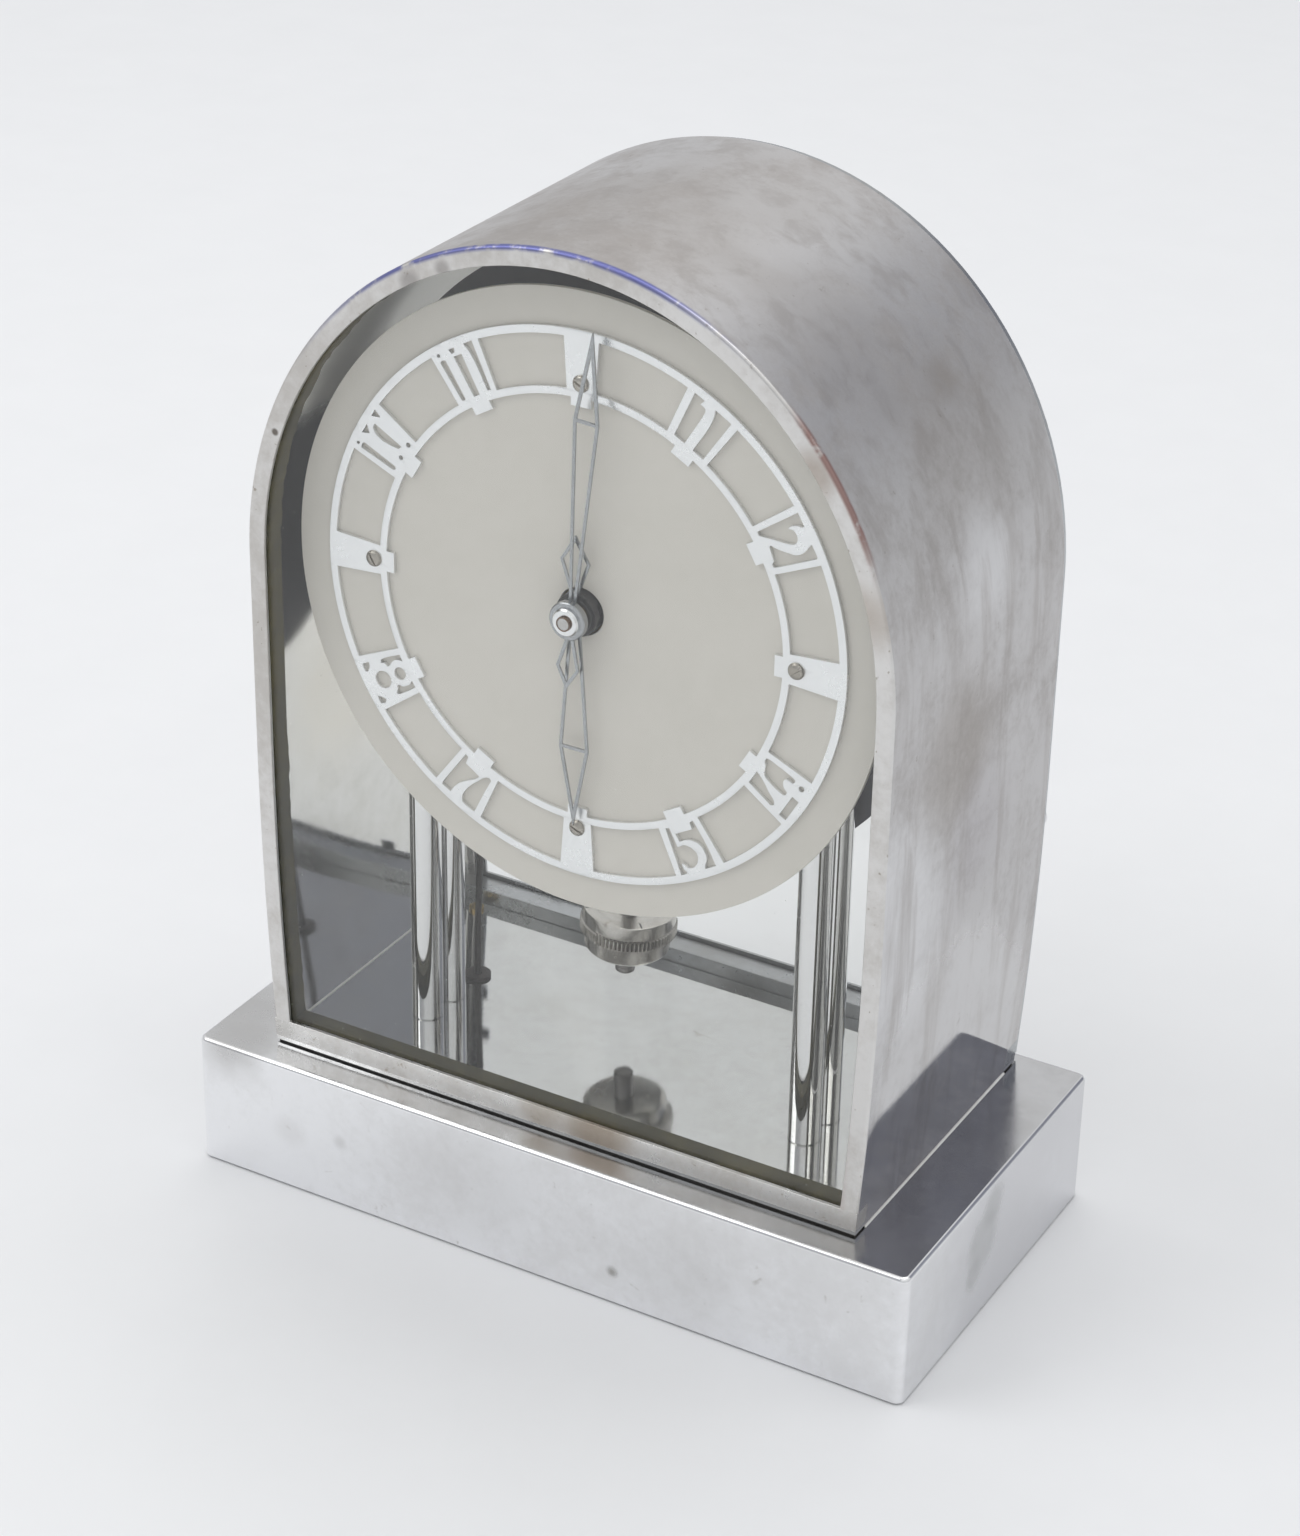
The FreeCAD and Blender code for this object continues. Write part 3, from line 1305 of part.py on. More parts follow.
minute_flat = slab("minute_hand_slab",
                   hand_face(v.boss_radius - v.hand_bar, v.cannon_radius + v.hand_fit,
                             v.minute_tip, v.minute_wide_at, v.minute_wide, v.minute_root_gap,
                             v.minute_tail, v.minute_tail_wide_at, v.minute_tail_wide,
                             v.minute_angle),
                   "minute_hand_front", "minute_hand_front + hand_thickness")
boss = cut("minute_boss",
           rod("minute_boss_solid", "Y", "boss_radius", "boss_front", "minute_hand_front",
               z="dial_z"),
           [rod("minute_boss_hole", "Y", "cannon_radius + hand_fit", "boss_front - overrun",
                "minute_hand_front + overrun", z="dial_z")])
piece(fuse("minute_hand_solid", [minute_flat, boss]), "minute_hand")
nut_body = doc.addObject("Part::Cone", "hand_nut_chamfer")
nut_body.setExpression("Radius1", bound("nut_radius"))
nut_body.setExpression("Radius2", bound("nut_radius - nut_chamfer"))
nut_body.setExpression("Height", bound("boss_front - nut_front"))
nut_body.Placement = FreeCAD.Placement(V(0, 0, 0), FreeCAD.Rotation(V(1, 0, 0), 90))
move(nut_body, "0", "boss_front", "dial_z")
piece(cut("hand_nut_cut", nut_body, [
    rod("hand_nut_hole", "Y", "cannon_radius + hand_fit", "nut_front - overrun",
        "boss_front + overrun", z="dial_z")]), "hand_nut")

# Minute wheel and its pinion on a stud, then the hour wheel with its pipe
stud = fuse("motion_stud", [
    rod("motion_stud_pin", "Y", "motion_stud_radius", "dial_rear + arbor_shake",
        "front_plate_front", x="motion_x", z="motion_z"),
    rod("motion_stud_collar", "Y", "motion_stud_radius * 2", "cannon_start",
        "front_plate_front", x="motion_x", z="motion_z")])
piece(stud, "minute_wheel_stud")
motion_first = to_motion + 180 + 180 / v.minute_wheel_teeth
minute_wheel = slab("minute_wheel_slab",
                    at(gear_face(int(v.minute_wheel_teeth), v.motion_module, motion_first,
                                 v.motion_stud_radius + v.pivot_clearance),
                       v.motion_x, v.motion_z),
                    "minute_wheel_start - wheel_thickness", "minute_wheel_start")
minute_pinion = slab("minute_pinion_slab",
                     at(gear_face(int(v.minute_pinion_teeth), v.hour_module, to_motion + 180,
                                  v.motion_stud_radius + v.pivot_clearance),
                        v.motion_x, v.motion_z),
                     "hour_wheel_start - wheel_thickness - mesh_overlap / 2",
                     "minute_wheel_start - wheel_thickness")
piece(fuse("minute_wheel_solid", [minute_wheel, minute_pinion]), "minute_wheel")
hour_first = to_motion + 180 / v.hour_teeth
hour_gear = slab("hour_wheel_slab",
                 at(gear_face(int(v.hour_teeth), v.hour_module, hour_first,
                              v.hour_pipe_bore), 0, v.dial_z),
                 "hour_wheel_start - wheel_thickness", "hour_wheel_start")
hour_pipe = rod("hour_pipe", "Y", "hour_pipe_radius", "hour_pipe_front", "hour_wheel_start",
                z="dial_z")
hour_hole = rod("hour_hole", "Y", "hour_pipe_bore", "hour_pipe_front - overrun",
                "hour_wheel_start + overrun", z="dial_z")
piece(cut("hour_wheel_solid", fuse("hour_wheel_fused", [hour_gear, hour_pipe]), [hour_hole]),
      "hour_wheel")
piece(cut("collet", rod("collet_solid", "Y", "collet_radius", "collet_front", "collet_rear",
                        z="dial_z"),
          [rod("collet_hole", "Y", "hour_pipe_radius + hand_fit", "collet_front - overrun",
               "collet_rear + overrun", z="dial_z")]), "hour_collet")
piece(slab("hour_hand_slab",
           hand_face(v.hour_hub, v.hour_pipe_radius + v.hand_fit, v.hour_tip, v.hour_wide_at,
                     v.hour_wide, v.hour_root_gap, v.hour_tail, v.hour_tail_wide_at,
                     v.hour_tail_wide, v.hour_angle),
           "collet_front - hand_thickness", "collet_front"), "hour_hand")


# Intermediate and ratchet arbors, each with an eight-leaf pinion beside its wheel
def arbor_rods(name, x, z):
    return [rod(name + "_body", "Y", "arbor_radius", "front_plate_rear + arbor_shake",
                "rear_plate_front - arbor_shake", x=x, z=z),
            rod(name + "_pivots", "Y", "pivot_radius", "front_plate_front",
                "rear_plate_rear", x=x, z=z)]


second_pinion = slab("second_pinion",
                     at(gear_face(int(v.pinion_teeth), v.gear_module,
                                  to_second + 180 + half_pinion, 0), v.second_x, v.second_z),
                     "centre_wheel_y - mesh_overlap",
                     "centre_wheel_y + wheel_thickness + mesh_overlap")
second_wheel = slab("second_wheel",
                    at(gear_face(int(v.second_wheel_teeth), v.gear_module, to_third, 0, 5),
                       v.second_x, v.second_z),
                    "second_wheel_y", "second_wheel_y + wheel_thickness")
piece(fuse("second_solid", arbor_rods("second", "second_x", "second_z")
           + [second_pinion, second_wheel]), "intermediate_wheel")


def ratchet_face():
    corners = []
    count = int(v.ratchet_teeth)
    for number in range(count):
        angle = 2 * math.pi * number / count
        for radius in (v.ratchet_radius - v.ratchet_tooth, v.ratchet_radius):
            corners.append((radius * math.cos(angle), radius * math.sin(angle)))
    return face(corners)


third_pinion = slab("third_pinion",
                    at(gear_face(int(v.pinion_teeth), v.gear_module,
                                 to_third + 180 + half_pinion, 0), v.ratchet_x, v.ratchet_z),
                    "second_wheel_y - mesh_overlap",
                    "second_wheel_y + wheel_thickness + mesh_overlap")
ratchet = slab("ratchet_slab", at(ratchet_face(), v.ratchet_x, v.ratchet_z),
               "ratchet_y", "ratchet_y + ratchet_thickness")
piece(fuse("third_solid", arbor_rods("third", "ratchet_x", "ratchet_z")
           + [third_pinion, ratchet]), "ratchet_wheel")

# Suspension bracket: back plate on the disc with two jaws round the strip spring
bracket = fuse("bracket_solid", [
    box("bracket_plate", "-bracket_half_width", "bracket_half_width", "rear_plate_rear",
        "rear_plate_rear + bracket_thickness", "bracket_bottom_z", "bracket_top_z"),
    box("bracket_arm", "-strip_half_width - bracket_thickness",
        "strip_half_width + bracket_thickness", "rear_plate_rear",
        "pivot_y + jaw_depth + bracket_thickness", "pivot_z - jaw_bottom_drop",
        "pivot_z - jaw_top_drop")])
jaw_slot = box("jaw_slot", "-strip_half_width - jaw_play",
               "strip_half_width + jaw_play", "pivot_y - strip_thickness",
               "pivot_y + strip_thickness", "pivot_z - jaw_bottom_drop - overrun",
               "pivot_z - strip_top_drop + overrun")
piece(cut("bracket_cut", bracket, [jaw_slot]), "suspension_bracket")

# Pendulum pieces are drawn hanging straight, then swung about the pivot
swung = FreeCAD.Placement(V(0, 0, 0), FreeCAD.Rotation(V(0, 1, 0), v.swing_rest),
                          V(0, v.pivot_y, v.pivot_z))


def hang(obj):
    holder = doc.addObject("Part::Compound", obj.Name + "_swung")
    holder.Links = [obj]
    holder.Placement = swung
    return holder


spring = box("strip", "-strip_half_width", "strip_half_width", "pivot_y - strip_thickness / 2",
             "pivot_y + strip_thickness / 2", "pivot_z - strip_bottom_drop",
             "pivot_z - strip_top_drop")
piece(hang(spring), "suspension_spring")
magnet_torus = doc.addObject("Part::Torus", "magnet_torus")
magnet_torus.setExpression("Radius1", bound("magnet_arc"))
magnet_torus.setExpression("Radius2", bound("magnet_radius"))
magnet_torus.setExpression("Angle3", bound("2 * magnet_half_angle"))
magnet_torus.Placement = FreeCAD.Placement(
    V(0, 0, 0), FreeCAD.Rotation(V(1, 0, 0), -90).multiply(
        FreeCAD.Rotation(V(0, 0, 1), 90 - v.magnet_half_angle)))
move(magnet_torus, "0", "pivot_y", "pivot_z")
seat_torus = doc.addObject("Part::Torus", "magnet_seat")
seat_torus.setExpression("Radius1", bound("magnet_arc"))
seat_torus.setExpression("Radius2", bound("magnet_radius + magnet_fit"))
seat_torus.setExpression("Angle3", bound("2 * magnet_half_angle"))
seat_torus.Placement = magnet_torus.Placement
move(seat_torus, "0", "pivot_y", "pivot_z")
rod_solid = fuse("pendulum_rod_solid", [
    box("rod_block", "-block_half_width", "block_half_width", "pivot_y - block_half_depth",
        "pivot_y + block_half_depth", "pivot_z - block_bottom_drop", "pivot_z - block_top_drop"),
    rod("rod_shaft", "Z", "rod_radius", "pivot_z - thread_end_drop", "pivot_z - rod_top_drop",
        y="pivot_y"),
    rod("rod_thread", "Z", "thread_radius", "pivot_z - thread_end_drop",
        "pivot_z - thread_top_drop", y="pivot_y"),
    box("magnet_holder", "-holder_half_width", "holder_half_width",
        "pivot_y - holder_half_depth", "pivot_y + holder_half_depth",
        "pivot_z - magnet_arc - holder_half_height",
        "pivot_z - magnet_arc + holder_half_height"),
    rod("pawl_pin", "Y", "pawl_pin_radius", "pawl_pin_end", "pivot_y", z="slot_z")])
rod_slot = box("rod_slot", "-strip_half_width - screw_clearance",
               "strip_half_width + screw_clearance", "pivot_y - strip_thickness",
               "pivot_y + strip_thickness", "pivot_z - strip_bottom_drop",
               "pivot_z - block_top_drop + overrun")
piece(hang(cut("pendulum_rod_cut", rod_solid, [rod_slot, seat_torus])), "pendulum_rod")
piece(hang(magnet_torus), "magnet_bar")

# Bob: a turned drum with a shallow dished top and one index line
bob = turned("bob_body", [
    ("thread_radius + rating_bore_clearance", "pivot_z - bob_bottom_drop"),
    ("bob_radius - bob_edge", "pivot_z - bob_bottom_drop"),
    ("bob_radius", "pivot_z - bob_bottom_drop + bob_edge"),
    ("bob_radius", "pivot_z - bob_top_drop - bob_edge"),
    ("bob_radius - bob_edge", "pivot_z - bob_top_drop"),
    ("bob_rim", "pivot_z - bob_top_drop"),
    ("bob_rim - bob_dish", "pivot_z - bob_top_drop - bob_dish"),
    ("thread_radius + rating_bore_clearance", "pivot_z - bob_top_drop - bob_dish")])
move(bob, y="pivot_y")
index = box("index_cut", "-index_width / 2", "index_width / 2",
            "pivot_y - bob_radius", "pivot_y - bob_radius + index_length",
            "pivot_z - bob_top_drop - index_depth", "pivot_z - bob_top_drop + overrun")
piece(hang(cut("bob_cut", bob, [index])), "bob_weight")
rating = turned("rating_body", [
    ("thread_radius + rating_bore_clearance", "pivot_z - rating_bottom_drop"),
    ("rating_radius - rating_chamfer", "pivot_z - rating_bottom_drop"),
    ("rating_radius", "pivot_z - rating_bottom_drop + rating_chamfer"),
    ("rating_radius", "pivot_z - bob_bottom_drop - nut_gap - rating_flange_height"),
    ("rating_flange", "pivot_z - bob_bottom_drop - nut_gap - rating_flange_height"),
    ("rating_flange", "pivot_z - bob_bottom_drop - nut_gap"),
    ("thread_radius + rating_bore_clearance", "pivot_z - bob_bottom_drop - nut_gap")])
groove = sketch_on(rating, "XY_Plane", "knurl_plan")
polygon(groove, [("rating_flange - knurl_depth", "0"),
                 ("rating_flange + knurl_depth", "-knurl_width"),
                 ("rating_flange + knurl_depth", "knurl_width")])
lift(groove, "pivot_z - bob_bottom_drop + overrun")
knurl = pocket(rating, groove, "rating_flange_height + nut_gap + 2 * overrun", "knurl_groove")
circular = rating.newObject("PartDesign::PolarPattern", "knurl_pattern")
circular.Originals = [knurl]
circular.Axis = (groove, ["N_Axis"])
circular.Angle = 360
circular.setExpression("Occurrences", bound("knurl_count"))
rating.Tip = circular
doc.recompute()
move(rating, y="pivot_y")
piece(hang(rating), "rating_nut")

# Pawl: a light arm on the pin, its beak just above the ratchet wheel
pawl = fuse("pawl_solid", [
    box("pawl_arm", "-pawl_length", "0", "ratchet_y", "ratchet_y + ratchet_thickness",
        "slot_z - pawl_height / 2", "slot_z + pawl_height / 2"),
    box("pawl_tip", "-pawl_length", "-pawl_length + pawl_height", "ratchet_y",
        "ratchet_y + ratchet_thickness", "slot_z - pawl_height / 2 - pawl_beak",
        "slot_z + pawl_height / 2"),
    rod("pawl_eye", "Y", "pawl_boss", "ratchet_y", "ratchet_y + ratchet_thickness",
        z="slot_z")])
piece(hang(cut("pawl_cut", pawl, [
    rod("pawl_hole", "Y", "pawl_pin_radius + pivot_clearance", "ratchet_y - overrun",
        "ratchet_y + ratchet_thickness + overrun", z="slot_z")])), "pawl")


# Drive coil on its bobbin, tilted to follow the magnet, held by a cradle on the disc
def spool(name, radius, start, end):
    return rod(name, "X", radius, start, end, y="pivot_y")


flanges = [spool("coil_flange_left", "coil_flange", "-coil_length / 2",
                 "-coil_length / 2 + coil_flange_thickness"),
           spool("coil_flange_right", "coil_flange", "coil_length / 2 - coil_flange_thickness",
                 "coil_length / 2"),
           spool("coil_tube_solid", "coil_tube", "-coil_length / 2", "coil_length / 2")]
piece(tilted(cut("bobbin", fuse("bobbin_solid", flanges),
                 [spool("coil_bore_cut", "coil_bore", "-coil_length", "coil_length")])),
      "coil_bobbin")
winding = cut("winding", spool("winding_solid", "coil_winding",
                               "-coil_length / 2 + coil_flange_thickness + coil_gap",
                               "coil_length / 2 - coil_flange_thickness - coil_gap"),
              [spool("winding_bore", "coil_tube + coil_gap", "-coil_length", "coil_length")])
piece(tilted(winding), "coil_winding")
cradle = fuse("cradle_solid", [
    box("cradle_shelf", "-coil_length / 2", "coil_length / 2", "rear_plate_rear",
        "cradle_reach", "-coil_flange - cradle_gap - cradle_thickness",
        "-coil_flange - cradle_gap"),
    box("cradle_back", "-coil_length / 2", "coil_length / 2", "rear_plate_rear",
        "rear_plate_rear + cradle_thickness",
        "-coil_flange - cradle_gap - cradle_thickness - cradle_tab",
        "-coil_flange - cradle_gap")])
piece(tilted(cradle), "coil_cradle")

# Terminal block and the lead that runs down behind a column into the base
block = box("terminal_box", "terminal_x - terminal_half_width",
            "terminal_x + terminal_half_width", "rear_plate_rear",
            "rear_plate_rear + terminal_depth", "terminal_z - terminal_half_height",
            "terminal_z + terminal_half_height")
heads = [rod("terminal_head" + str(number), "Y", "terminal_screw",
             "rear_plate_rear + terminal_depth",
             "rear_plate_rear + terminal_depth + terminal_screw_head",
             x="terminal_x " + sign + " terminal_half_width / 2", z="terminal_z")
         for number, sign in enumerate("-+")]
piece(fuse("terminal_solid", [block] + heads), "terminal_block")


# A cord runs straight between points, each corner rounded by a tangent arc
def cord(points, radius):
    count = len(points)
    runs = [points[i + 1].sub(points[i]) for i in range(count - 1)]
    cuts = [0.0] * count
    radii = []
    for i in range(1, count - 1):
        turn = runs[i - 1].getAngle(runs[i])
        short = min(runs[i - 1].Length, runs[i].Length)
        cuts[i] = v.cord_share * short
        radii.append(cuts[i] / math.tan(turn / 2))
    edges = []
    start = points[0]
    for i in range(1, count):
        back = V(runs[i - 1]).normalize()
        end = points[i].sub(V(back).multiply(cuts[i]))
        edges.append(Part.LineSegment(start, end).toShape())
        if i < count - 1:
            ahead = V(runs[i]).normalize()
            leave = points[i].add(V(ahead).multiply(cuts[i]))
            turn = runs[i - 1].getAngle(runs[i])
            bisector = ahead.sub(back).normalize()
            reach = radii[i - 1] / math.cos(turn / 2) - radii[i - 1]
            middle = points[i].add(V(bisector).multiply(reach))
            edges.append(Part.Arc(end, middle, leave).toShape())
            start = leave
    path = Part.Wire(edges)
    ring_wire = Part.Wire(Part.makeCircle(radius, points[0], runs[0]))
    solid = path.makePipeShell([ring_wire], True, True)
    ideal = math.pi * radius ** 2 * path.Length
    print("cord length", round(path.Length, 2), "volume share", round(solid.Volume / ideal, 5))
    print("bend radii", [round(value, 1) for value in radii])
    return solid


tray_left = (v.cell_start - v.cell_gap - v.leaf_play - v.leaf_thickness - v.tray_wall)
route = [V(v.lead_start_x, v.lead_top_y, v.terminal_z - v.terminal_half_height),
         V(v.lead_start_x, v.lead_top_y, v.lead_side_z),
         V(v.lead_drop_x, v.lead_drop_y, v.lead_drop_z),
         V(v.lead_low_x, v.bush_y, v.lead_low_z),
         V(v.bush_x, v.bush_y, v.lead_bush_z),
         V(v.bush_x, v.bush_y, v.lead_base_z),
         V(v.lead_turn_x, v.bush_y, v.lead_turn_z),
         V(v.lead_in_x, v.cell_y, v.lead_end_z),
         V(tray_left, v.cell_y, v.lead_end_z)]
piece(shaped("lead_solid", cord(route, v.lead_radius)), "battery_lead")

# Rear door: flat frame, rabbet for its glass, notched round the hinge knuckles
door_outer = case_block("door_outer", v.door_inset, v.door_bottom, "door_front", "door_rear")
door_hole = case_block("door_hole", v.door_opening, v.door_opening_bottom,
                       "door_front - overrun", "door_rear + overrun")
door_rabbet = case_block("door_rabbet", v.rabbet_inset, v.rabbet_bottom, "door_glass_front",
                         "door_rear + overrun")
notches = []
lugs = []
pins = []
leaves = []
for tag, low in (("low", "hinge_low_z"), ("high", "hinge_high_z")):
    top = low + " + hinge_height"
    middle_low = low + " + hinge_knuckle + hinge_play"
    middle_top = low + " + 2 * hinge_knuckle + hinge_play"
    upper = low + " + 2 * hinge_knuckle + 2 * hinge_play"
    notches.append(box("hinge_notch_" + tag, "-base_half_width", "hinge_notch_x",
                       "door_front - overrun", "door_rear + overrun",
                       low + " - hinge_notch_play", top + " + hinge_notch_play"))
    place = {"x": "hinge_x", "y": "door_rear"}
    for half, z0, z1 in (("a", low, low + " + hinge_knuckle"), ("b", upper, top)):
        lugs.append(rod("hinge_barrel_" + tag + half, "Z", "hinge_radius", z0, z1, **place))
        lugs.append(box("hinge_leaf_" + tag + half, "-case_half_width + hinge_pin",
                        "hinge_leaf_x", "case_rear", "hinge_leaf_rear", z0, z1))
    lugs.append(rod("hinge_pin_" + tag, "Z", "hinge_pin", low, top, **place))
    knuckle = fuse("door_knuckle_solid_" + tag, [
        rod("door_barrel_" + tag, "Z", "hinge_radius", middle_low, middle_top, **place),
        box("door_leaf_" + tag, "hinge_x", "door_leaf_x", "door_rear",
            "door_rear + door_leaf_thickness", middle_low, middle_top)])
    leaves.append(cut("door_knuckle_" + tag, knuckle, [
        rod("door_knuckle_hole_" + tag, "Z", "hinge_pin + hinge_bore_clearance",
            middle_low + " - overrun", middle_top + " + overrun", **place)]))
piece(cut("door_frame", door_outer, [door_hole, door_rabbet] + notches), "rear_door_frame")
piece(group("case_hinge_set", [fuse("case_hinge_low", lugs[:5]),
                               fuse("case_hinge_high", lugs[5:])]), "case_hinges")
piece(group("door_hinge_set", leaves), "door_hinge_knuckles")
piece(case_block("door_glass", v.door_glass_inset, v.door_glass_bottom, "door_glass_front",
                 "door_rear"), "rear_glass")

# Clips that keep the rear glass in, a pull knob and a spring catch
clips = []
clip_spots = [(-1, v.hinge_low_z + 4 * v.hinge_radius + v.hinge_height), (1, v.hinge_low_z),
              (-1, v.shoulder_z), (1, v.shoulder_z)]
for number, (side, z) in enumerate(clip_spots):
    edge = side_x(0, z)
    clips.append(shaped("clip" + str(number), Part.makeBox(
        v.clip_inner_inset - v.clip_outer_inset, v.clip_thickness, 2 * v.clip_half_width,
        V(side * edge - (v.clip_inner_inset if side > 0 else -v.clip_outer_inset),
          v.door_rear, z - v.clip_half_width))))
for number, side in enumerate((-1, 1)):
    clips.append(shaped("clip_foot" + str(number), Part.makeBox(
        2 * v.clip_half_width, v.clip_thickness, v.clip_inner_inset - v.clip_outer_inset,
        V(side * v.column_x - v.clip_half_width, v.door_rear,
          v.door_bottom + v.clip_outer_inset - v.door_inset))))
piece(group("clip_set", clips), "door_glass_clips")
knob = fuse("knob_solid", [
    rod("knob_neck_rod", "Y", "knob_neck", "door_rear", "door_rear + knob_height",
        x="knob_x", z="knob_z"),
    rod("knob_head", "Y", "knob_radius", "door_rear + knob_neck_height",
        "door_rear + knob_height", x="knob_x", z="knob_z")])
piece(knob, "door_knob")
piece(box("catch", "catch_x", "catch_x + catch_thickness", "catch_front", "door_front",
          "knob_z - catch_half_height", "knob_z + catch_half_height"), "door_catch")

# Recompute, look over every object, then write one file for each named piece
doc.recompute()
problems = []
for obj in doc.Objects:
    state = " ".join(obj.State)
    if "Invalid" in state or "Error" in state:
        problems.append(obj.Name + " " + state)
for obj in parts:
    shape = obj.Shape
    if shape.isNull() or not shape.isValid() or not shape.Solids:
        problems.append(obj.Label + " has no valid solid")
if problems:
    raise RuntimeError("; ".join(problems))
for obj in parts:
    obj.Shape.exportStep("parts/" + obj.Label + ".step")
    bounds = obj.Shape.BoundBox
    print(obj.Label, len(obj.Shape.Solids), "solids", round(obj.Shape.Volume, 1),
          [round(n, 2) for n in (bounds.XMin, bounds.XMax, bounds.YMin, bounds.YMax,
                                 bounds.ZMin, bounds.ZMax)])
print(len(parts), "pieces")
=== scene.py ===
import math
import random

import bmesh
import bpy
from mathutils import Matrix, Vector


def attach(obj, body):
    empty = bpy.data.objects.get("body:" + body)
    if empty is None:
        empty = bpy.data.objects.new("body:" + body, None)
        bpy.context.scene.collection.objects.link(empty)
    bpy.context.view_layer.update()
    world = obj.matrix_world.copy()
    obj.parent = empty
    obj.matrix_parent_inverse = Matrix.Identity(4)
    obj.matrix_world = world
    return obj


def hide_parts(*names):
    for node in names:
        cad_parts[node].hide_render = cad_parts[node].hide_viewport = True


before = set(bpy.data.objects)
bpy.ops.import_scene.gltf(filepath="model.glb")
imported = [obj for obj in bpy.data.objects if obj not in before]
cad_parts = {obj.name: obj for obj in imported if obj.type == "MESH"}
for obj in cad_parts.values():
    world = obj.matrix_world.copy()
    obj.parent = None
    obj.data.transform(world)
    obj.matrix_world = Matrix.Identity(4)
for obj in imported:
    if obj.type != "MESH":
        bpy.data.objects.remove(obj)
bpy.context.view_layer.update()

# Base: a pressed plated box, open below, polished with fine rubbing marks and stains.
# It stands on felt feet and everything else is screwed to its top.
MM = 0.001


class Net:
    """A short way to write shader nodes: sockets link, plain values are set."""

    def __init__(self, tree):
        self.tree = tree

    def put(self, socket, value):
        if isinstance(value, bpy.types.NodeSocket):
            self.tree.links.new(value, socket)
        else:
            socket.default_value = value

    def add(self, kind, values=(), **settings):
        made = self.tree.nodes.new(kind)
        for name, value in settings.items():
            setattr(made, name, value)
        for name, value in dict(values).items():
            self.put(made.inputs[name], value)
        return made

    def noise(self, vector, scale, detail=4.0, rough=0.55, distortion=0.0):
        return self.add("ShaderNodeTexNoise", {"Vector": vector, "Scale": scale,
            "Detail": detail, "Roughness": rough, "Distortion": distortion}).outputs["Fac"]

    def stretch(self, vector, scale):
        made = self.add("ShaderNodeMapping", {"Vector": vector, "Scale": scale})
        return made.outputs["Vector"]

    def ramp(self, value, low, high, to_low=0.0, to_high=1.0):
        return self.add("ShaderNodeMapRange", {"Value": value, "From Min": low,
            "From Max": high, "To Min": to_low, "To Max": to_high},
            interpolation_type="SMOOTHSTEP").outputs["Result"]

    def calc(self, operation, first, *others):
        """Works through the values from left to right."""
        for value in others or (0.0,):
            made = self.add("ShaderNodeMath", operation=operation)
            self.put(made.inputs[0], first)
            self.put(made.inputs[1], value)
            first = made.outputs[0]
        return first

    def plus(self, *values):
        return self.calc("ADD", *values)

    def minus(self, first, second):
        return self.calc("SUBTRACT", first, second)

    def times(self, *values):
        return self.calc("MULTIPLY", *values)

    def mix(self, factor, first, second):
        made = self.add("ShaderNodeMix", data_type="RGBA")
        for place, value in ((0, factor), (6, first), (7, second)):
            self.put(made.inputs[place], value)
        return made.outputs[2]

    def bump(self, height, strength, distance, normal=None):
        made = self.add("ShaderNodeBump",
            {"Height": height, "Strength": strength, "Distance": distance})
        if normal is not None:
            self.put(made.inputs["Normal"], normal)
        return made.outputs["Normal"]

    def place(self):
        return self.add("ShaderNodeTexCoord").outputs["Object"]

    def parts(self, vector):
        return self.add("ShaderNodeSeparateXYZ", {"Vector": vector}).outputs

    def upward(self):
        return self.parts(self.add("ShaderNodeNewGeometry").outputs["Normal"])["Z"]


FLOAT, COLOR, VECTOR = "NodeSocketFloat", "NodeSocketColor", "NodeSocketVector"


def group(name, inputs, outputs):
    """An empty node group; its sockets are listed by kind."""
    tree = bpy.data.node_groups.new(name, "ShaderNodeTree")
    for way, sockets in (("INPUT", inputs), ("OUTPUT", outputs)):
        for kind, titles in sockets.items():
            for title in titles:
                tree.interface.new_socket(title, in_out=way, socket_type=kind)
    net = Net(tree)
    return tree, net, net.add("NodeGroupInput").outputs, net.add("NodeGroupOutput").inputs


# Worn plate: broad mottling, small stains, pits, fine scratches and a soft ripple
worn, net, given, out = group("worn_plate", {VECTOR: ["Vector"], COLOR: ["Plate", "Tarnish"],
    FLOAT: ["Mottle", "Stains", "Smooth", "Rough", "Ripple", "Scratches"]}, {COLOR: ["Color"],
    FLOAT: ["Roughness", "Mask"], VECTOR: ["Normal"]})
where = given["Vector"]
broad = net.noise(where, 17.0, 5.0, 0.6, 0.4)
middling = net.noise(where, 95.0, 6.0, 0.65, 0.2)
small = net.noise(where, 360.0, 5.0, 0.7, 0.3)
fine = net.noise(where, 900.0, 3.0, 0.7)
lines = net.noise(net.stretch(where, (40.0, 1400.0, 1400.0)), 1.0, 3.0, 0.6)
cross = net.noise(net.stretch(where, (1200.0, 30.0, 1200.0)), 1.0, 2.0, 0.6)
cloud = net.ramp(net.plus(net.times(broad, 0.5),
    net.plus(net.times(middling, 0.26), net.times(small, 0.24))), 0.42, 0.62)
spots = net.ramp(net.noise(where, 150.0, 4.0, 0.7, 0.6), 0.66, 0.74)
pits = net.ramp(net.noise(where, 620.0, 2.0, 0.5), 0.72, 0.78)
stain = net.times(given["Stains"], net.calc("MAXIMUM", spots, net.times(pits, 0.8)))
mask = net.calc("MINIMUM", net.plus(net.times(cloud, given["Mottle"]), stain), 1.0)
net.put(out["Color"], net.mix(mask, given["Plate"], given["Tarnish"]))
shine = net.plus(net.times(cloud, 0.6), net.times(fine, 0.4))
span = net.minus(given["Rough"], given["Smooth"])
net.put(out["Roughness"], net.plus(given["Smooth"], net.times(span, shine)))
rippled = net.bump(net.times(given["Ripple"], net.noise(where, 26.0, 2.0, 0.5)), 1.0, 0.01)
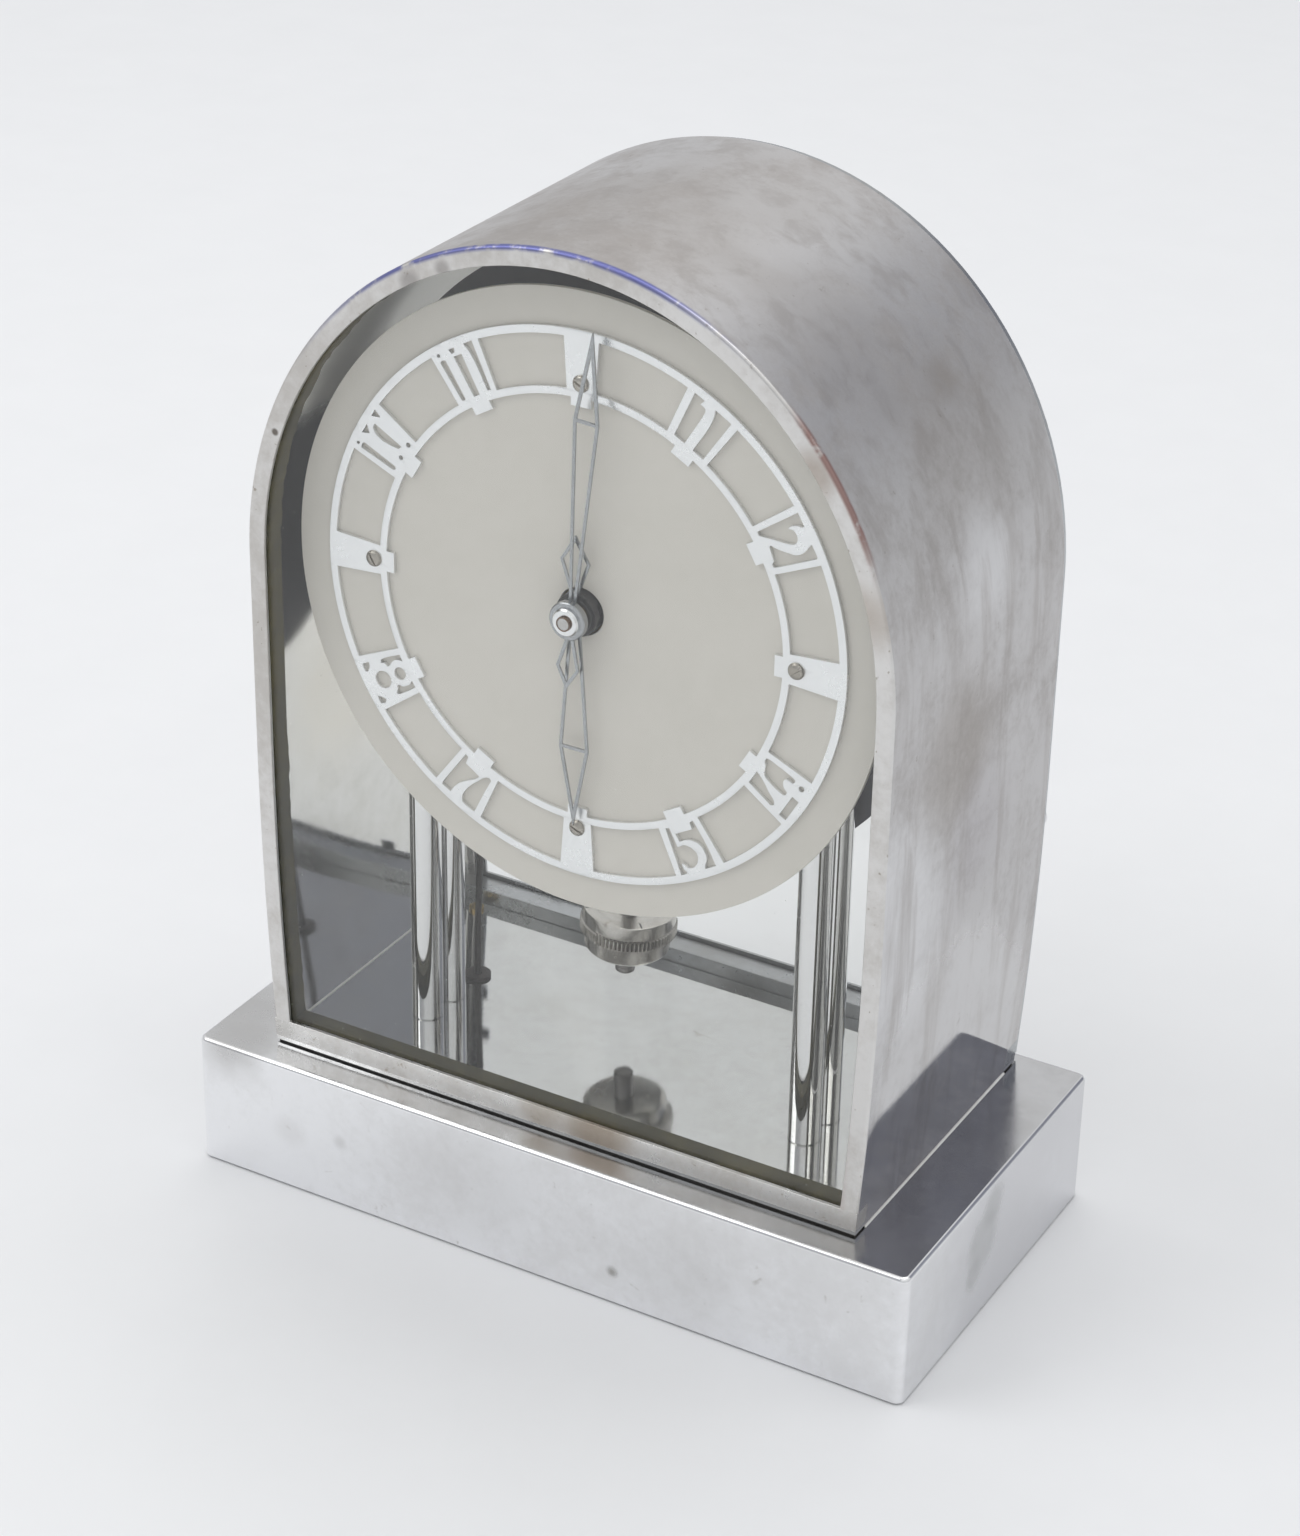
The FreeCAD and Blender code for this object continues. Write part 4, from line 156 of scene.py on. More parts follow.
marks = net.times(given["Scratches"], net.plus(lines, cross))
net.put(out["Normal"], net.bump(marks, 0.25, 0.00004, rippled))
net.put(out["Mask"], mask)

# One soft-edged patch round a point of the object, broken up by noise
patch, net, given, out = group("soft_patch",
    {VECTOR: ["Vector", "Centre"], FLOAT: ["Inner", "Outer"]}, {FLOAT: ["Mask"]})
apart = net.add("ShaderNodeVectorMath", operation="DISTANCE")
net.put(apart.inputs[0], given["Vector"])
net.put(apart.inputs[1], given["Centre"])
broken = net.times(net.minus(net.noise(given["Vector"], 45.0, 5.0, 0.65), 0.5),
    net.minus(given["Outer"], given["Inner"]))
net.put(out["Mask"], net.ramp(net.plus(apart.outputs["Value"], broken), given["Inner"],
    given["Outer"], 1.0, 0.0))

# Dust: pale specks and a thin film, heavier on faces that look up
dusty, net, given, out = group("dust",
    {VECTOR: ["Vector"], COLOR: ["Color"], FLOAT: ["Amount"]},
    {COLOR: ["Color"], FLOAT: ["Mask"]})
specks = net.ramp(net.noise(given["Vector"], 1500.0, 2.0, 0.5), 0.70, 0.76)
film = net.ramp(net.noise(given["Vector"], 60.0, 5.0, 0.7), 0.45, 0.8)
lying = net.times(given["Amount"], net.times(net.ramp(net.upward(), 0.2, 1.0, 0.25, 1.0),
    net.calc("MAXIMUM", specks, net.times(film, 0.35))))
net.put(out["Color"], net.mix(lying, given["Color"], (0.62, 0.61, 0.58, 1)))
net.put(out["Mask"], lying)


def blank(name):
    """A new material with its node helper and its shader."""
    made = bpy.data.materials.new(name)
    made.use_nodes = True
    return made, Net(made.node_tree), made.node_tree.nodes["Principled BSDF"].inputs


def surface(name, plate, tarnish=(0.3, 0.27, 0.24), metallic=1.0, mottle=0.4, stains=0.3,
        smooth=0.12, rough=0.35, ripple=0.0, scratches=0.3, dust=0.15, patches=()):
    """A worn finish; a patch is centre, inner, outer, colour, strength, roughness and
    perhaps how matt it is."""
    made, net, shader = blank(name)
    where = net.place()
    wear = net.add("ShaderNodeGroup", {"Vector": where, "Plate": (*plate, 1),
        "Tarnish": (*tarnish, 1), "Mottle": mottle, "Stains": stains, "Smooth": smooth,
        "Rough": rough, "Ripple": ripple, "Scratches": scratches}, node_tree=worn).outputs
    color, roughness, plated = wear["Color"], wear["Roughness"], metallic
    for centre, inner, outer, tint, strength, dull, *matt in patches:
        spot = net.add("ShaderNodeGroup", {"Vector": where,
            "Centre": [part * MM for part in centre], "Inner": inner * MM, "Outer": outer * MM},
            node_tree=patch).outputs["Mask"]
        share = net.times(spot, strength)
        color = net.mix(share, color, (*tint, 1))
        roughness = net.plus(roughness, net.times(share, dull))
        if matt:
            plated = net.times(plated, net.minus(1.0, net.times(spot, matt[0])))
    lying = net.add("ShaderNodeGroup", {"Vector": where, "Color": color, "Amount": dust},
        node_tree=dusty).outputs
    net.put(shader["Base Color"], lying["Color"])
    if metallic:
        bare = net.minus(1.0, net.times(lying["Mask"], 0.8))
        net.put(shader["Metallic"], net.times(plated, bare))
    net.put(shader["Roughness"], net.plus(roughness, net.times(lying["Mask"], 0.3)))
    net.put(shader["Normal"], wear["Normal"])
    return made


def tinted(material, tint, shape):
    """Lays a tint over a finish where shape(net, place) is high."""
    net = Net(material.node_tree)
    color = material.node_tree.nodes["Principled BSDF"].inputs["Base Color"]
    under = color.links[0].from_socket
    net.put(color, net.mix(shape(net, net.place()), under, (*tint, 1)))


BASE_HALF_X, BASE_HALF_Y, BASE_TOP = 105 * MM, 53.5 * MM, 38 * MM
BASE_SKIRT, BASE_WALL, BASE_CORNER, BASE_EDGE = 0.5 * MM, 1.5 * MM, 2.5 * MM, 1.3 * MM
base_metal = surface("base_plate", (0.91, 0.915, 0.93), (0.64, 0.63, 0.62), mottle=0.36,
    stains=0.75, smooth=0.09, rough=0.24, ripple=0.004, scratches=0.2,
    patches=(((105, -9, 23), 5, 11, (0.36, 0.38, 0.33), 0.75, 0.3),
    ((105, -4, 31), 3, 8, (0.34, 0.36, 0.31), 0.75, 0.3),
    ((105, -14, 15), 2, 6, (0.38, 0.39, 0.35), 0.7, 0.3),
    ((105, 24, 18), 30, 80, (0.66, 0.66, 0.68), 0.75, 0.0),
    ((23, -53.5, 9.8), 0.4, 2.6, (0.34, 0.33, 0.31), 0.8, 0.2),
    ((-101, -36, 38), 4, 18, (0.42, 0.41, 0.40), 0.6, 0.25),
    ((-95, -50, 38), 3, 14, (0.48, 0.47, 0.46), 0.6, 0.2),
    ((-20, -54, 24), 4, 26, (0.66, 0.655, 0.65), 0.25, 0.02),
    ((-76, -54, 18), 1, 7, (0.55, 0.54, 0.53), 0.2, 0.02),
    ((-60, -54, 20), 0.5, 3, (0.42, 0.41, 0.40), 0.3, 0.05),
    ((45, -54, 14), 4, 24, (0.66, 0.655, 0.65), 0.25, 0.02)))


def top_painted_shade(net, place):
    """Painted shade: a darker grey laid on the faces that look up, broken up by cloudy noise.
    """
    cloud = net.ramp(net.noise(place, 70.0, 5.0, 0.7), 0.3, 0.7, 0.6, 1.0)
    return net.times(net.ramp(net.upward(), 0.96, 0.999), cloud, 0.75)


# The base top is painted darker than its plating: painted shade.
tinted(base_metal, (0.52, 0.515, 0.51), top_painted_shade)


def rounded_rectangle(half_x, half_y, corner, steps=6):
    points = []
    for sign_x, sign_y, start in ((1, 1, 0), (-1, 1, 90), (-1, -1, 180), (1, -1, 270)):
        for i in range(steps + 1):
            angle = math.radians(start + 90 * i / steps)
            points.append((sign_x * (half_x - corner) + corner * math.cos(angle),
                sign_y * (half_y - corner) + corner * math.sin(angle)))
    return points


def base_ring(inset, z):
    outline = rounded_rectangle(BASE_HALF_X - inset, BASE_HALF_Y - inset,
        max(BASE_CORNER - inset, 0.8 * MM))
    return [(x, y, z) for x, y in outline]


def link(name, mesh):
    obj = bpy.data.objects.new(name, mesh)
    bpy.context.scene.collection.objects.link(obj)
    return obj


def close_up(bm, mesh):
    bmesh.ops.remove_doubles(bm, verts=bm.verts, dist=1e-7)
    bmesh.ops.recalc_face_normals(bm, faces=bm.faces)
    bm.to_mesh(mesh)
    bm.free()


def from_bmesh(name, bm):
    mesh = bpy.data.meshes.new(name)
    close_up(bm, mesh)
    return link(name, mesh)


def baked(obj):
    graph = bpy.context.evaluated_depsgraph_get()
    return bpy.data.meshes.new_from_object(obj.evaluated_get(graph), depsgraph=graph)


def settle(obj, bevel=0.0, segments=3, angle=35.0):
    """Bevels the hard edges, or keeps broad faces flat, and bakes this into the mesh."""
    if bevel:
        edge = obj.modifiers.new("edge", "BEVEL")
        edge.width = bevel
        edge.segments = segments
        edge.limit_method = "ANGLE"
        edge.angle_limit = math.radians(angle)
        edge.harden_normals = True
        edge.use_clamp_overlap = True
    obj.data.shade_smooth()
    if not bevel:
        obj.data.set_sharp_from_angle(angle=math.radians(angle))
        flat = obj.modifiers.new("flat", "WEIGHTED_NORMAL")
        flat.keep_sharp = True
        flat.weight = 90
    old, obj.data = obj.data, baked(obj)
    obj.modifiers.clear()
    bpy.data.meshes.remove(old)
    obj.data.name = obj.name
    return obj


def piece(obj, material, body, slot, *nodes):
    obj.data.materials.clear()
    obj.data.materials.append(material)
    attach(obj, body)
    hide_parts(*nodes)
    return obj


def extend(bm, row, points, loop=True):
    """Extrudes a row of points onto the next row and returns that row's points."""
    pairs = list(zip(row, row[1:])) + ([(row[-1], row[0])] if loop else [])
    edges = [bm.edges.get(pair) or bm.edges.new(pair) for pair in pairs]
    made = set(bmesh.ops.extrude_edge_only(bm, edges=edges)["geom"])
    fresh = []
    for vert, point in zip(row, points):
        twin = next(edge.other_vert(vert) for edge in vert.link_edges
            if edge.other_vert(vert) in made)
        twin.co = point
        fresh.append(twin)
    return fresh


def skin(bm, loops, closed=False, caps=False):
    """Extrudes a first closed row through every next one of the same count."""
    first = row = [bm.verts.new(point) for point in loops[0]]
    for points in loops[1:] + (loops[:1] if closed else []):
        row = extend(bm, row, points)
    if caps:
        bmesh.ops.contextual_create(bm, geom=first)
        bmesh.ops.contextual_create(bm, geom=row)


bm = bmesh.new()
rings = [base_ring(BASE_WALL, BASE_TOP - BASE_WALL), base_ring(BASE_WALL, BASE_SKIRT),
    base_ring(0.2 * MM, BASE_SKIRT), base_ring(0, BASE_SKIRT + 0.2 * MM)]
for i in range(7):
    angle = math.radians(90 * i / 6)
    rings.append(base_ring(BASE_EDGE * (1 - math.cos(angle)),
        BASE_TOP - BASE_EDGE * (1 - math.sin(angle))))
skin(bm, rings, caps=True)
base = settle(from_bmesh("base_box", bm), angle=50)
piece(base, base_metal, "frame", "base_chrome", "base_shell")

# Case hoop: one strip bent to the arch with a narrow rim turned in at each end.
# Worn nickel-grey outside, mirror bright inside, standing on the base top.
ARCH_HALF, ARCH_RISE, SHOULDER_Z = 89 * MM, 96 * MM, 179 * MM
LEG_CURVE_Z, LEG_RADIUS = 127 * MM, 1245 * MM


def side_x(inset, z):
    drop = max(LEG_CURVE_Z - z, 0)
    return ARCH_HALF - LEG_RADIUS + math.sqrt((LEG_RADIUS - inset) ** 2 - drop ** 2)


def arch(inset, bottom, steps=120, leg_steps=18):
    half, rise = ARCH_HALF - inset, ARCH_RISE - inset
    points = []
    for i in range(leg_steps):
        z = bottom + (LEG_CURVE_Z - bottom) * i / leg_steps
        points.append((side_x(inset, z), z))
    points.append((half, LEG_CURVE_Z))
    for i in range(steps + 1):
        angle = math.pi * i / steps
        points.append((half * math.cos(angle), SHOULDER_Z + rise * math.sin(angle)))
    left = [(-x, z) for x, z in points[:leg_steps + 1]]
    return points + left[::-1]


CASE_FRONT, CASE_REAR, HOOP_WALL = -44.3 * MM, 48.8 * MM, 1.6 * MM
RIM, RIM_THICK, SILL_TOP = 4.8 * MM, 1.2 * MM, 45.2 * MM
SILL_REAR, REAR_SILL_FRONT, RIM_REAR = -38.8 * MM, 42 * MM, CASE_FRONT + RIM_THICK
BROWN, LILAC, PALE_PAINTED_SHEEN = (0.36, 0.325, 0.295), (0.46, 0.44, 0.46), (0.76, 0.76, 0.77)
BLUE, RED = (0.17, 0.18, 0.40), (0.36, 0.24, 0.22)
# The pale patches, low on both flanks, along the right flank's front edge and high on the
# right, are painted sheen and painted reflection.
hoop_metal = surface("case_plate", (0.59, 0.58, 0.58), (0.40, 0.375, 0.36), mottle=0.6,
    stains=0.75, smooth=0.42, rough=0.60, ripple=0.006, scratches=0.25,
    patches=(((2, -18, 275), 18, 46, BROWN, 0.36, 0.0),
    ((14, 26, 275), 8, 34, BROWN, 0.22, 0.0), ((52, -12, 257), 8, 34, BROWN, 0.22, 0.0),
    ((76, 10, 228), 10, 38, BROWN, 0.22, 0.0), ((69, 14, 240), 2, 9, BROWN, 0.40, 0.0),
    ((86, 8, 200), 4, 22, PALE_PAINTED_SHEEN, 0.55, -0.10), ((89, -40, 120), 12, 44, PALE_PAINTED_SHEEN, 0.75, -0.05),
    ((89, -8, 156), 8, 26, BROWN, 0.45, 0.0), ((89, 6, 128), 6, 26, LILAC, 0.35, 0.0),
    ((86, -2, 46), 40, 66, PALE_PAINTED_SHEEN, 0.25, -1.6), ((-86, -2, 46), 40, 66, PALE_PAINTED_SHEEN, 0.25, -1.6)))


def rubbed(net, place):
    """Long soft streaks that run up the flanks, where the case is wiped and carried."""
    run = net.noise(net.stretch(place, (110.0, 110.0, 16.0)), 1.0, 6.0, 0.62, 0.4)
    return net.times(net.ramp(run, 0.46, 0.68), 0.5)


tinted(hoop_metal, (0.40, 0.375, 0.36), rubbed)


def edge_between(low, high):
    """The hoop's front edge between two places across the case, worn off in parts."""
    def shape(net, place):
        parts = net.parts(place)
        across = net.calc("DIVIDE", parts["X"], ARCH_HALF)
        rise = net.calc("DIVIDE", net.minus(parts["Z"], SHOULDER_Z), ARCH_RISE)
        reach = net.calc("SQRT", net.plus(net.times(across, across), net.times(rise, rise)))
        edge = net.times(net.ramp(reach, 0.984, 0.996),
            net.ramp(parts["Y"], CASE_FRONT + 1.9 * MM, CASE_FRONT + 0.9 * MM))
        away = net.calc("ABSOLUTE", net.minus(parts["X"], (low + high) / 2))
        along = net.ramp(away, (high - low) / 2, (high - low) / 4)
        return net.times(edge, along, net.ramp(net.noise(place, 160.0, 4.0, 0.6), 0.32, 0.50))
    return shape


rim_metal = surface("case_rim", (0.72, 0.71, 0.695), (0.40, 0.365, 0.32), mottle=0.45,
    stains=1.0, smooth=0.28, rough=0.46, ripple=0.004, scratches=0.25, dust=0.1,
    patches=(((-79.6, -44.3, 213.7), 0.5, 1.3, (0.14, 0.12, 0.10), 0.9, 0.1),
    ((-40, -44.3, 260), 1.0, 4.0, (0.36, 0.34, 0.33), 0.7, 0.1),
    ((-31, -44.3, 265), 0.8, 3.0, (0.36, 0.34, 0.33), 0.7, 0.1),
    ((66, -44.3, 236), 2.0, 8.0, (0.44, 0.38, 0.33), 0.7, 0.1),
    ((80, -44.3, 205), 3.0, 12.0, (0.50, 0.45, 0.40), 0.7, 0.1)))
for plating in (hoop_metal, rim_metal):
    tinted(plating, BLUE, edge_between(-76 * MM, 52 * MM))
    tinted(plating, RED, edge_between(58 * MM, 84 * MM))
# Mirror plating inside. The pale matt patch over the whole arch and the beige patch low on the
# left wall are painted reflection.
inner_plate_and_reflection = surface("case_inside_painted_reflection", (0.76, 0.755, 0.73), (0.50, 0.46, 0.38), mottle=0.25,
    stains=0.35, smooth=0.04, rough=0.10, ripple=0.010, scratches=0.0, dust=0.2,
    patches=(((0, -5, 300), 117, 126, (0.92, 0.90, 0.84), 1.0, 0.35, 1.0),
    ((-86, -2, 135), 12, 44, (0.78, 0.74, 0.65), 0.6, 0.10)))


def rounding(inset, y, radius, start, steps=4):
    """A quarter circle of (inset, y) pairs round a corner's centre."""
    return [(inset + radius * math.cos(math.radians(start + 90 * i / steps)),
        y + radius * math.sin(math.radians(start + 90 * i / steps))) for i in range(steps + 1)]


ROUND, SMALL, FOLD = 0.9 * MM, 0.35 * MM, 1.0 * MM
section = []
for inset, y, radius, start, hollow in (
        (ROUND, CASE_FRONT + ROUND, ROUND, 180, False),
        (RIM - SMALL, CASE_FRONT + SMALL, SMALL, 270, False),
        (RIM - SMALL, RIM_REAR - SMALL, SMALL, 0, False),
        (HOOP_WALL + FOLD, RIM_REAR + FOLD, FOLD, 180, True),
        (HOOP_WALL + FOLD, CASE_REAR - RIM_THICK - FOLD, FOLD, 90, True),
        (RIM - SMALL, CASE_REAR - RIM_THICK + SMALL, SMALL, 270, False),
        (RIM - SMALL, CASE_REAR - SMALL, SMALL, 0, False),
        (SMALL, CASE_REAR - SMALL, SMALL, 90, False)):
    corner = rounding(inset, y, radius, start)
    section += corner[::-1] if hollow else corner
turn = next(i for i, (inset, y) in enumerate(section) if y > 0)
section[turn:turn] = [(HOOP_WALL, SILL_REAR), (HOOP_WALL, REAR_SILL_FRONT)]
section += [(0, REAR_SILL_FRONT), (0, SILL_REAR)]
bm = bmesh.new()
rows = []
for inset, y in section:
    points = [(x, y, z) for x, z in arch(inset, SILL_TOP)]
    if rows:
        rows.append(extend(bm, rows[-1], points, loop=False))
    else:
        rows.append([bm.verts.new(point) for point in points])
extend(bm, rows[-1], [vert.co for vert in rows[0]], loop=False)
for end in (0, -1):
    standing = [(row[end], inset) for row, (inset, y) in zip(rows, section)
        if SILL_REAR <= y <= REAR_SILL_FRONT]
    foot = [(math.copysign(side_x(inset, BASE_TOP), vert.co.x), vert.co.y, BASE_TOP)
        for vert, inset in standing]
    extend(bm, [vert for vert, inset in standing], foot)
bmesh.ops.remove_doubles(bm, verts=bm.verts, dist=1e-7)
bmesh.ops.holes_fill(bm, edges=[edge for edge in bm.edges if edge.is_boundary], sides=0)
hoop = settle(from_bmesh("hoop", bm), angle=40)
piece(hoop, hoop_metal, "frame", "case_chrome", "case_hoop")
hoop.data.materials.append(inner_plate_and_reflection)
hoop.data.materials.append(rim_metal)
for face in hoop.data.polygons:
    x, y, z = face.center
    if y < CASE_FRONT + 0.7 * MM or y > CASE_REAR - 0.7 * MM:
        face.material_index = 2
    reach = math.hypot(x / ARCH_HALF, max(z - SHOULDER_Z, 0) / ARCH_RISE)
    inside = (reach < 1 - 0.6 * HOOP_WALL / ARCH_HALF
        if z > LEG_CURVE_Z else abs(x) < side_x(0.6 * HOOP_WALL, z))
    if inside and RIM_REAR - SMALL < y < CASE_REAR - RIM_THICK + SMALL:
        face.material_index = 1

# Sills: a plated bar across the front that holds the glass edge, another at the rear.
# Both lie on the bright floor plate, which shows as a thin line over a dark card.
FLOOR_TOP, FLOOR_LIP, CARD_TOP = 41 * MM, 39.8 * MM, 38.6 * MM
bright = surface("bright_plate", (0.78, 0.78, 0.79), (0.42, 0.38, 0.32), mottle=0.12,
    stains=0.35, smooth=0.04, rough=0.12, ripple=0.003, scratches=0.35, dust=0.3)
sill_metal = surface("sill_plate", (0.68, 0.675, 0.66), (0.40, 0.36, 0.31), mottle=0.45,
    stains=0.8, smooth=0.22, rough=0.42, ripple=0.004, dust=0.2,
    patches=(((13, -44, 42), 3, 15, (0.34, 0.28, 0.22), 0.8, 0.1),
    ((-4, -44, 43), 2, 9, (0.38, 0.33, 0.27), 0.6, 0.1)))


def prism(name, outline, y0, y1):
    bm = bmesh.new()
    skin(bm, [[(x, y, z) for x, z in outline] for y in (y0, y1)], caps=True)
    return from_bmesh(name, bm)


def joined(name, *objects):
    """Puts several meshes into one object."""
    bm = bmesh.new()
    for obj in objects:
        bm.from_mesh(obj.data)
        bpy.data.objects.remove(obj)
    mesh = bpy.data.meshes.new(name)
    bm.to_mesh(mesh)
    bm.free()
    return link(name, mesh)


def cross_bar(name, inset, y0, y1, z0, z1):
    """A bar across the case whose ends follow the leg's outline."""
    outline = [(side_x(inset, z0), z0), (side_x(inset, z1), z1), (-side_x(inset, z1), z1),
        (-side_x(inset, z0), z0)]
    return prism(name, outline, y0, y1)


def end_block(name, side):
    """The short block under the end of the rim."""
    low, high = side_x(HOOP_WALL, FLOOR_TOP), side_x(HOOP_WALL, SILL_TOP)
    outline = [(side * low, FLOOR_TOP), (side * side_x(0, FLOOR_TOP), FLOOR_TOP),
        (side * side_x(0, SILL_TOP), SILL_TOP), (side * high, SILL_TOP)]
    return prism(name, outline, RIM_REAR, SILL_REAR)


lip = cross_bar("lip", 0, CASE_FRONT, RIM_REAR, FLOOR_LIP, SILL_TOP)
settle(lip, 0.2 * MM, 3)
foot = cross_bar("foot", 0, RIM_REAR, SILL_REAR, FLOOR_LIP, FLOOR_TOP)
ends = [end_block("end" + str(side), side) for side in (-1, 1)]
piece(settle(joined("sill_front_bar", lip, foot, *ends), angle=35), sill_metal, "frame",
    "bright_chrome", "front_sill")
rear_bar = cross_bar("sill_rear_bar", 0, REAR_SILL_FRONT, CASE_REAR, FLOOR_LIP, SILL_TOP)
# The rear bar takes a darker, bluish copy of the plating: painted shade and painted bluish
# reflection.
shaded_rear_metal = surface("rear_plate_painted_shade", (0.46, 0.475, 0.49), (0.30, 0.29, 0.27), mottle=0.45,
    stains=0.7, smooth=0.20, rough=0.40, ripple=0.004, dust=0.2)
piece(settle(rear_bar, 0.3 * MM, 3), shaded_rear_metal, "frame", "bright_chrome", "rear_sill")

# Floor plate: a sheet polished like a mirror between the sills, thinned to a lip under
# them. It lies on a dark card that is cut a little short and shows as a thin line.
floor_metal = surface("floor_plate_metal", (0.70, 0.705, 0.70), (0.42, 0.40, 0.33), mottle=0.18,
    smooth=0.03, rough=0.10, ripple=0.002, scratches=0.45, dust=0.35)
middle = cross_bar("floor", HOOP_WALL + 0.15 * MM, SILL_REAR, REAR_SILL_FRONT, CARD_TOP,
    FLOOR_TOP)
lips = [cross_bar("floor", 0, y0, y1, CARD_TOP, FLOOR_LIP)
    for y0, y1 in ((CASE_FRONT + 0.4 * MM, SILL_REAR), (REAR_SILL_FRONT, CASE_REAR - 0.4 * MM))]
piece(settle(joined("floor_mirror", settle(middle, 0.4 * MM, 3), *lips), angle=35), floor_metal,
    "frame", "bright_chrome", "floor_plate")
card_stuff = surface("card", (0.035, 0.034, 0.033), (0.06, 0.05, 0.04), metallic=0.0,
    smooth=0.6, rough=0.9, dust=0.3)
cards = [cross_bar("card", inset, y0, y1, BASE_TOP, CARD_TOP)
    for inset, y0, y1 in ((0.4 * MM, CASE_FRONT + 0.8 * MM, SILL_REAR - 0.4 * MM),
    (0.4 * MM, REAR_SILL_FRONT + 0.4 * MM, CASE_REAR - 0.8 * MM), (HOOP_WALL + 0.15 * MM,
    SILL_REAR - 0.4 * MM, REAR_SILL_FRONT + 0.4 * MM))]
piece(settle(joined("under_card", *cards)), card_stuff, "frame", "card", "case_underlay")

# Pale lines: a thin pale matt strip in the corner along the foot of the hoop, outside on the
# base and inside on the floor plate
pale_strip = surface("pale_corner_strip", (0.74, 0.74, 0.73), (0.5, 0.48, 0.44), metallic=0.0, mottle=0.3,
    smooth=0.5, rough=0.8, dust=0.1)
LINE, LINE_UNDER = 0.4 * MM, 0.2 * MM
lines = []
for side in (-1, 1):
    for inset, z, away in ((0, BASE_TOP, 1), (HOOP_WALL, FLOOR_TOP, -1)):
        wall = side_x(inset, z)
        outline = [(side * (wall - away * LINE_UNDER), z), (side * (wall + away * LINE), z),
            (side * wall, z + LINE), (side * (wall - away * LINE_UNDER), z + LINE)]
        lines.append(prism("line", outline, SILL_REAR, REAR_SILL_FRONT))
lines = settle(joined("pale_corner_lines", *lines))
lines.data.materials.append(pale_strip)
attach(lines, "frame")

# Front glass: a clear sheet cut to the arch, with a faint film and a few dust specks.
# It stands on the foot of the front sill and leans against the turned-in rim.
GLASS_REAR = RIM_REAR + 1.4 * MM
CLEAR = (0.975, 0.98, 0.974, 1)
glass, net, shader = blank("front_glass_clear")
where = net.place()
specks = net.ramp(net.noise(where, 1300.0, 2.0, 0.5), 0.74, 0.80)
film = net.ramp(net.noise(where, 38.0, 5.0, 0.7), 0.45, 0.85, 0.0, 0.012)
net.put(shader["Base Color"], net.mix(specks, CLEAR, (0.75, 0.74, 0.70, 1)))
net.put(shader["Roughness"], net.plus(film, net.times(specks, 0.5)))
for title, value in (("IOR", 1.45), ("Metallic", 0.0), ("Transmission Weight", 1.0)):
    net.put(shader[title], value)
ray = net.add("ShaderNodeLightPath").outputs
mixed = net.add("ShaderNodeMixShader")
shadows = net.calc("MAXIMUM", ray["Is Shadow Ray"], ray["Is Diffuse Ray"])
passing = net.add("ShaderNodeBsdfTransparent", {"Color": CLEAR})
for place, value in enumerate((shadows, net.tree.nodes["Principled BSDF"].outputs[0],
        passing.outputs[0])):
    net.put(mixed.inputs[place], value)
net.put(net.tree.nodes["Material Output"].inputs["Surface"], mixed.outputs[0])
pane = prism("pane_front", arch(1.9 * MM, FLOOR_TOP), RIM_REAR, GLASS_REAR)
piece(settle(pane), glass, "frame", "glass", "front_glass")

# Sealing strip: dark olive putty pressed in by hand behind the glass all round, so its
# inner edge is a little ragged. It holds the glass against the rim.
GASKET_REAR, GASKET_INSET, GASKET_BOTTOM = -35.9 * MM, 4.6 * MM, 44.8 * MM
strip_stuff = surface("strip_olive", (0.040, 0.036, 0.014), (0.13, 0.11, 0.045), metallic=0.0,
    mottle=0.7, stains=0.8, smooth=0.5, rough=0.9, scratches=0.2)
bm = bmesh.new()
outer_line = arch(1.7 * MM, FLOOR_TOP, 180, 40)
inner_line = arch(GASKET_INSET, GASKET_BOTTOM, 180, 40)
random.seed(7)
ragged = []
for x, z in inner_line:
    wobble = random.uniform(-0.15, 0.35) * MM
    ragged.append((x * (1 + wobble / ARCH_HALF), z + (wobble if z > SHOULDER_Z else 0)))
skin(bm, [[(x, GLASS_REAR, z) for x, z in outer_line], [(x, GLASS_REAR, z) for x, z in ragged],
    [(x, GASKET_REAR, z) for x, z in ragged], [(x, GASKET_REAR, z) for x, z in outer_line]],
    closed=True)
piece(settle(from_bmesh("sealing_strip", bm), angle=40), strip_stuff, "frame", "gasket",
    "glass_gasket")

# Columns: four plated brass rods in two pairs, turned plain with a fine edge at the top.
# Screws from under the floor hold them; they carry the movement.
COLUMN_R, COLUMN_TOP = 4.2 * MM, 150 * MM
column_metal = surface("column_plate", (0.80, 0.80, 0.80), (0.5, 0.47, 0.42), mottle=0.06,
    stains=0.15, smooth=0.03, rough=0.08, ripple=0.0015, scratches=0.2)


def sized(pairs):
    return [(first * MM, second * MM) for first, second in pairs]


def turned(name, profile, axis, centre, steps=96):
    """Spins (radius, distance) pairs about an axis through centre."""
    bm = bmesh.new()
    verts = [bm.verts.new((radius, 0, height)) for radius, height in profile]
    edges = [bm.edges.new(pair) for pair in zip(verts, verts[1:])]
    bmesh.ops.spin(bm, geom=verts + edges, cent=(0, 0, 0), axis=(0, 0, 1), angle=2 * math.pi,
        steps=steps, use_merge=True)
    turn = {"Z": Matrix(), "Y": Matrix.Rotation(-math.pi / 2, 4, "X"),
        "X": Matrix.Rotation(math.pi / 2, 4, "Y")}[axis]
    bmesh.ops.transform(bm, matrix=Matrix.Translation(centre) @ turn, verts=bm.verts)
    return from_bmesh(name, bm)


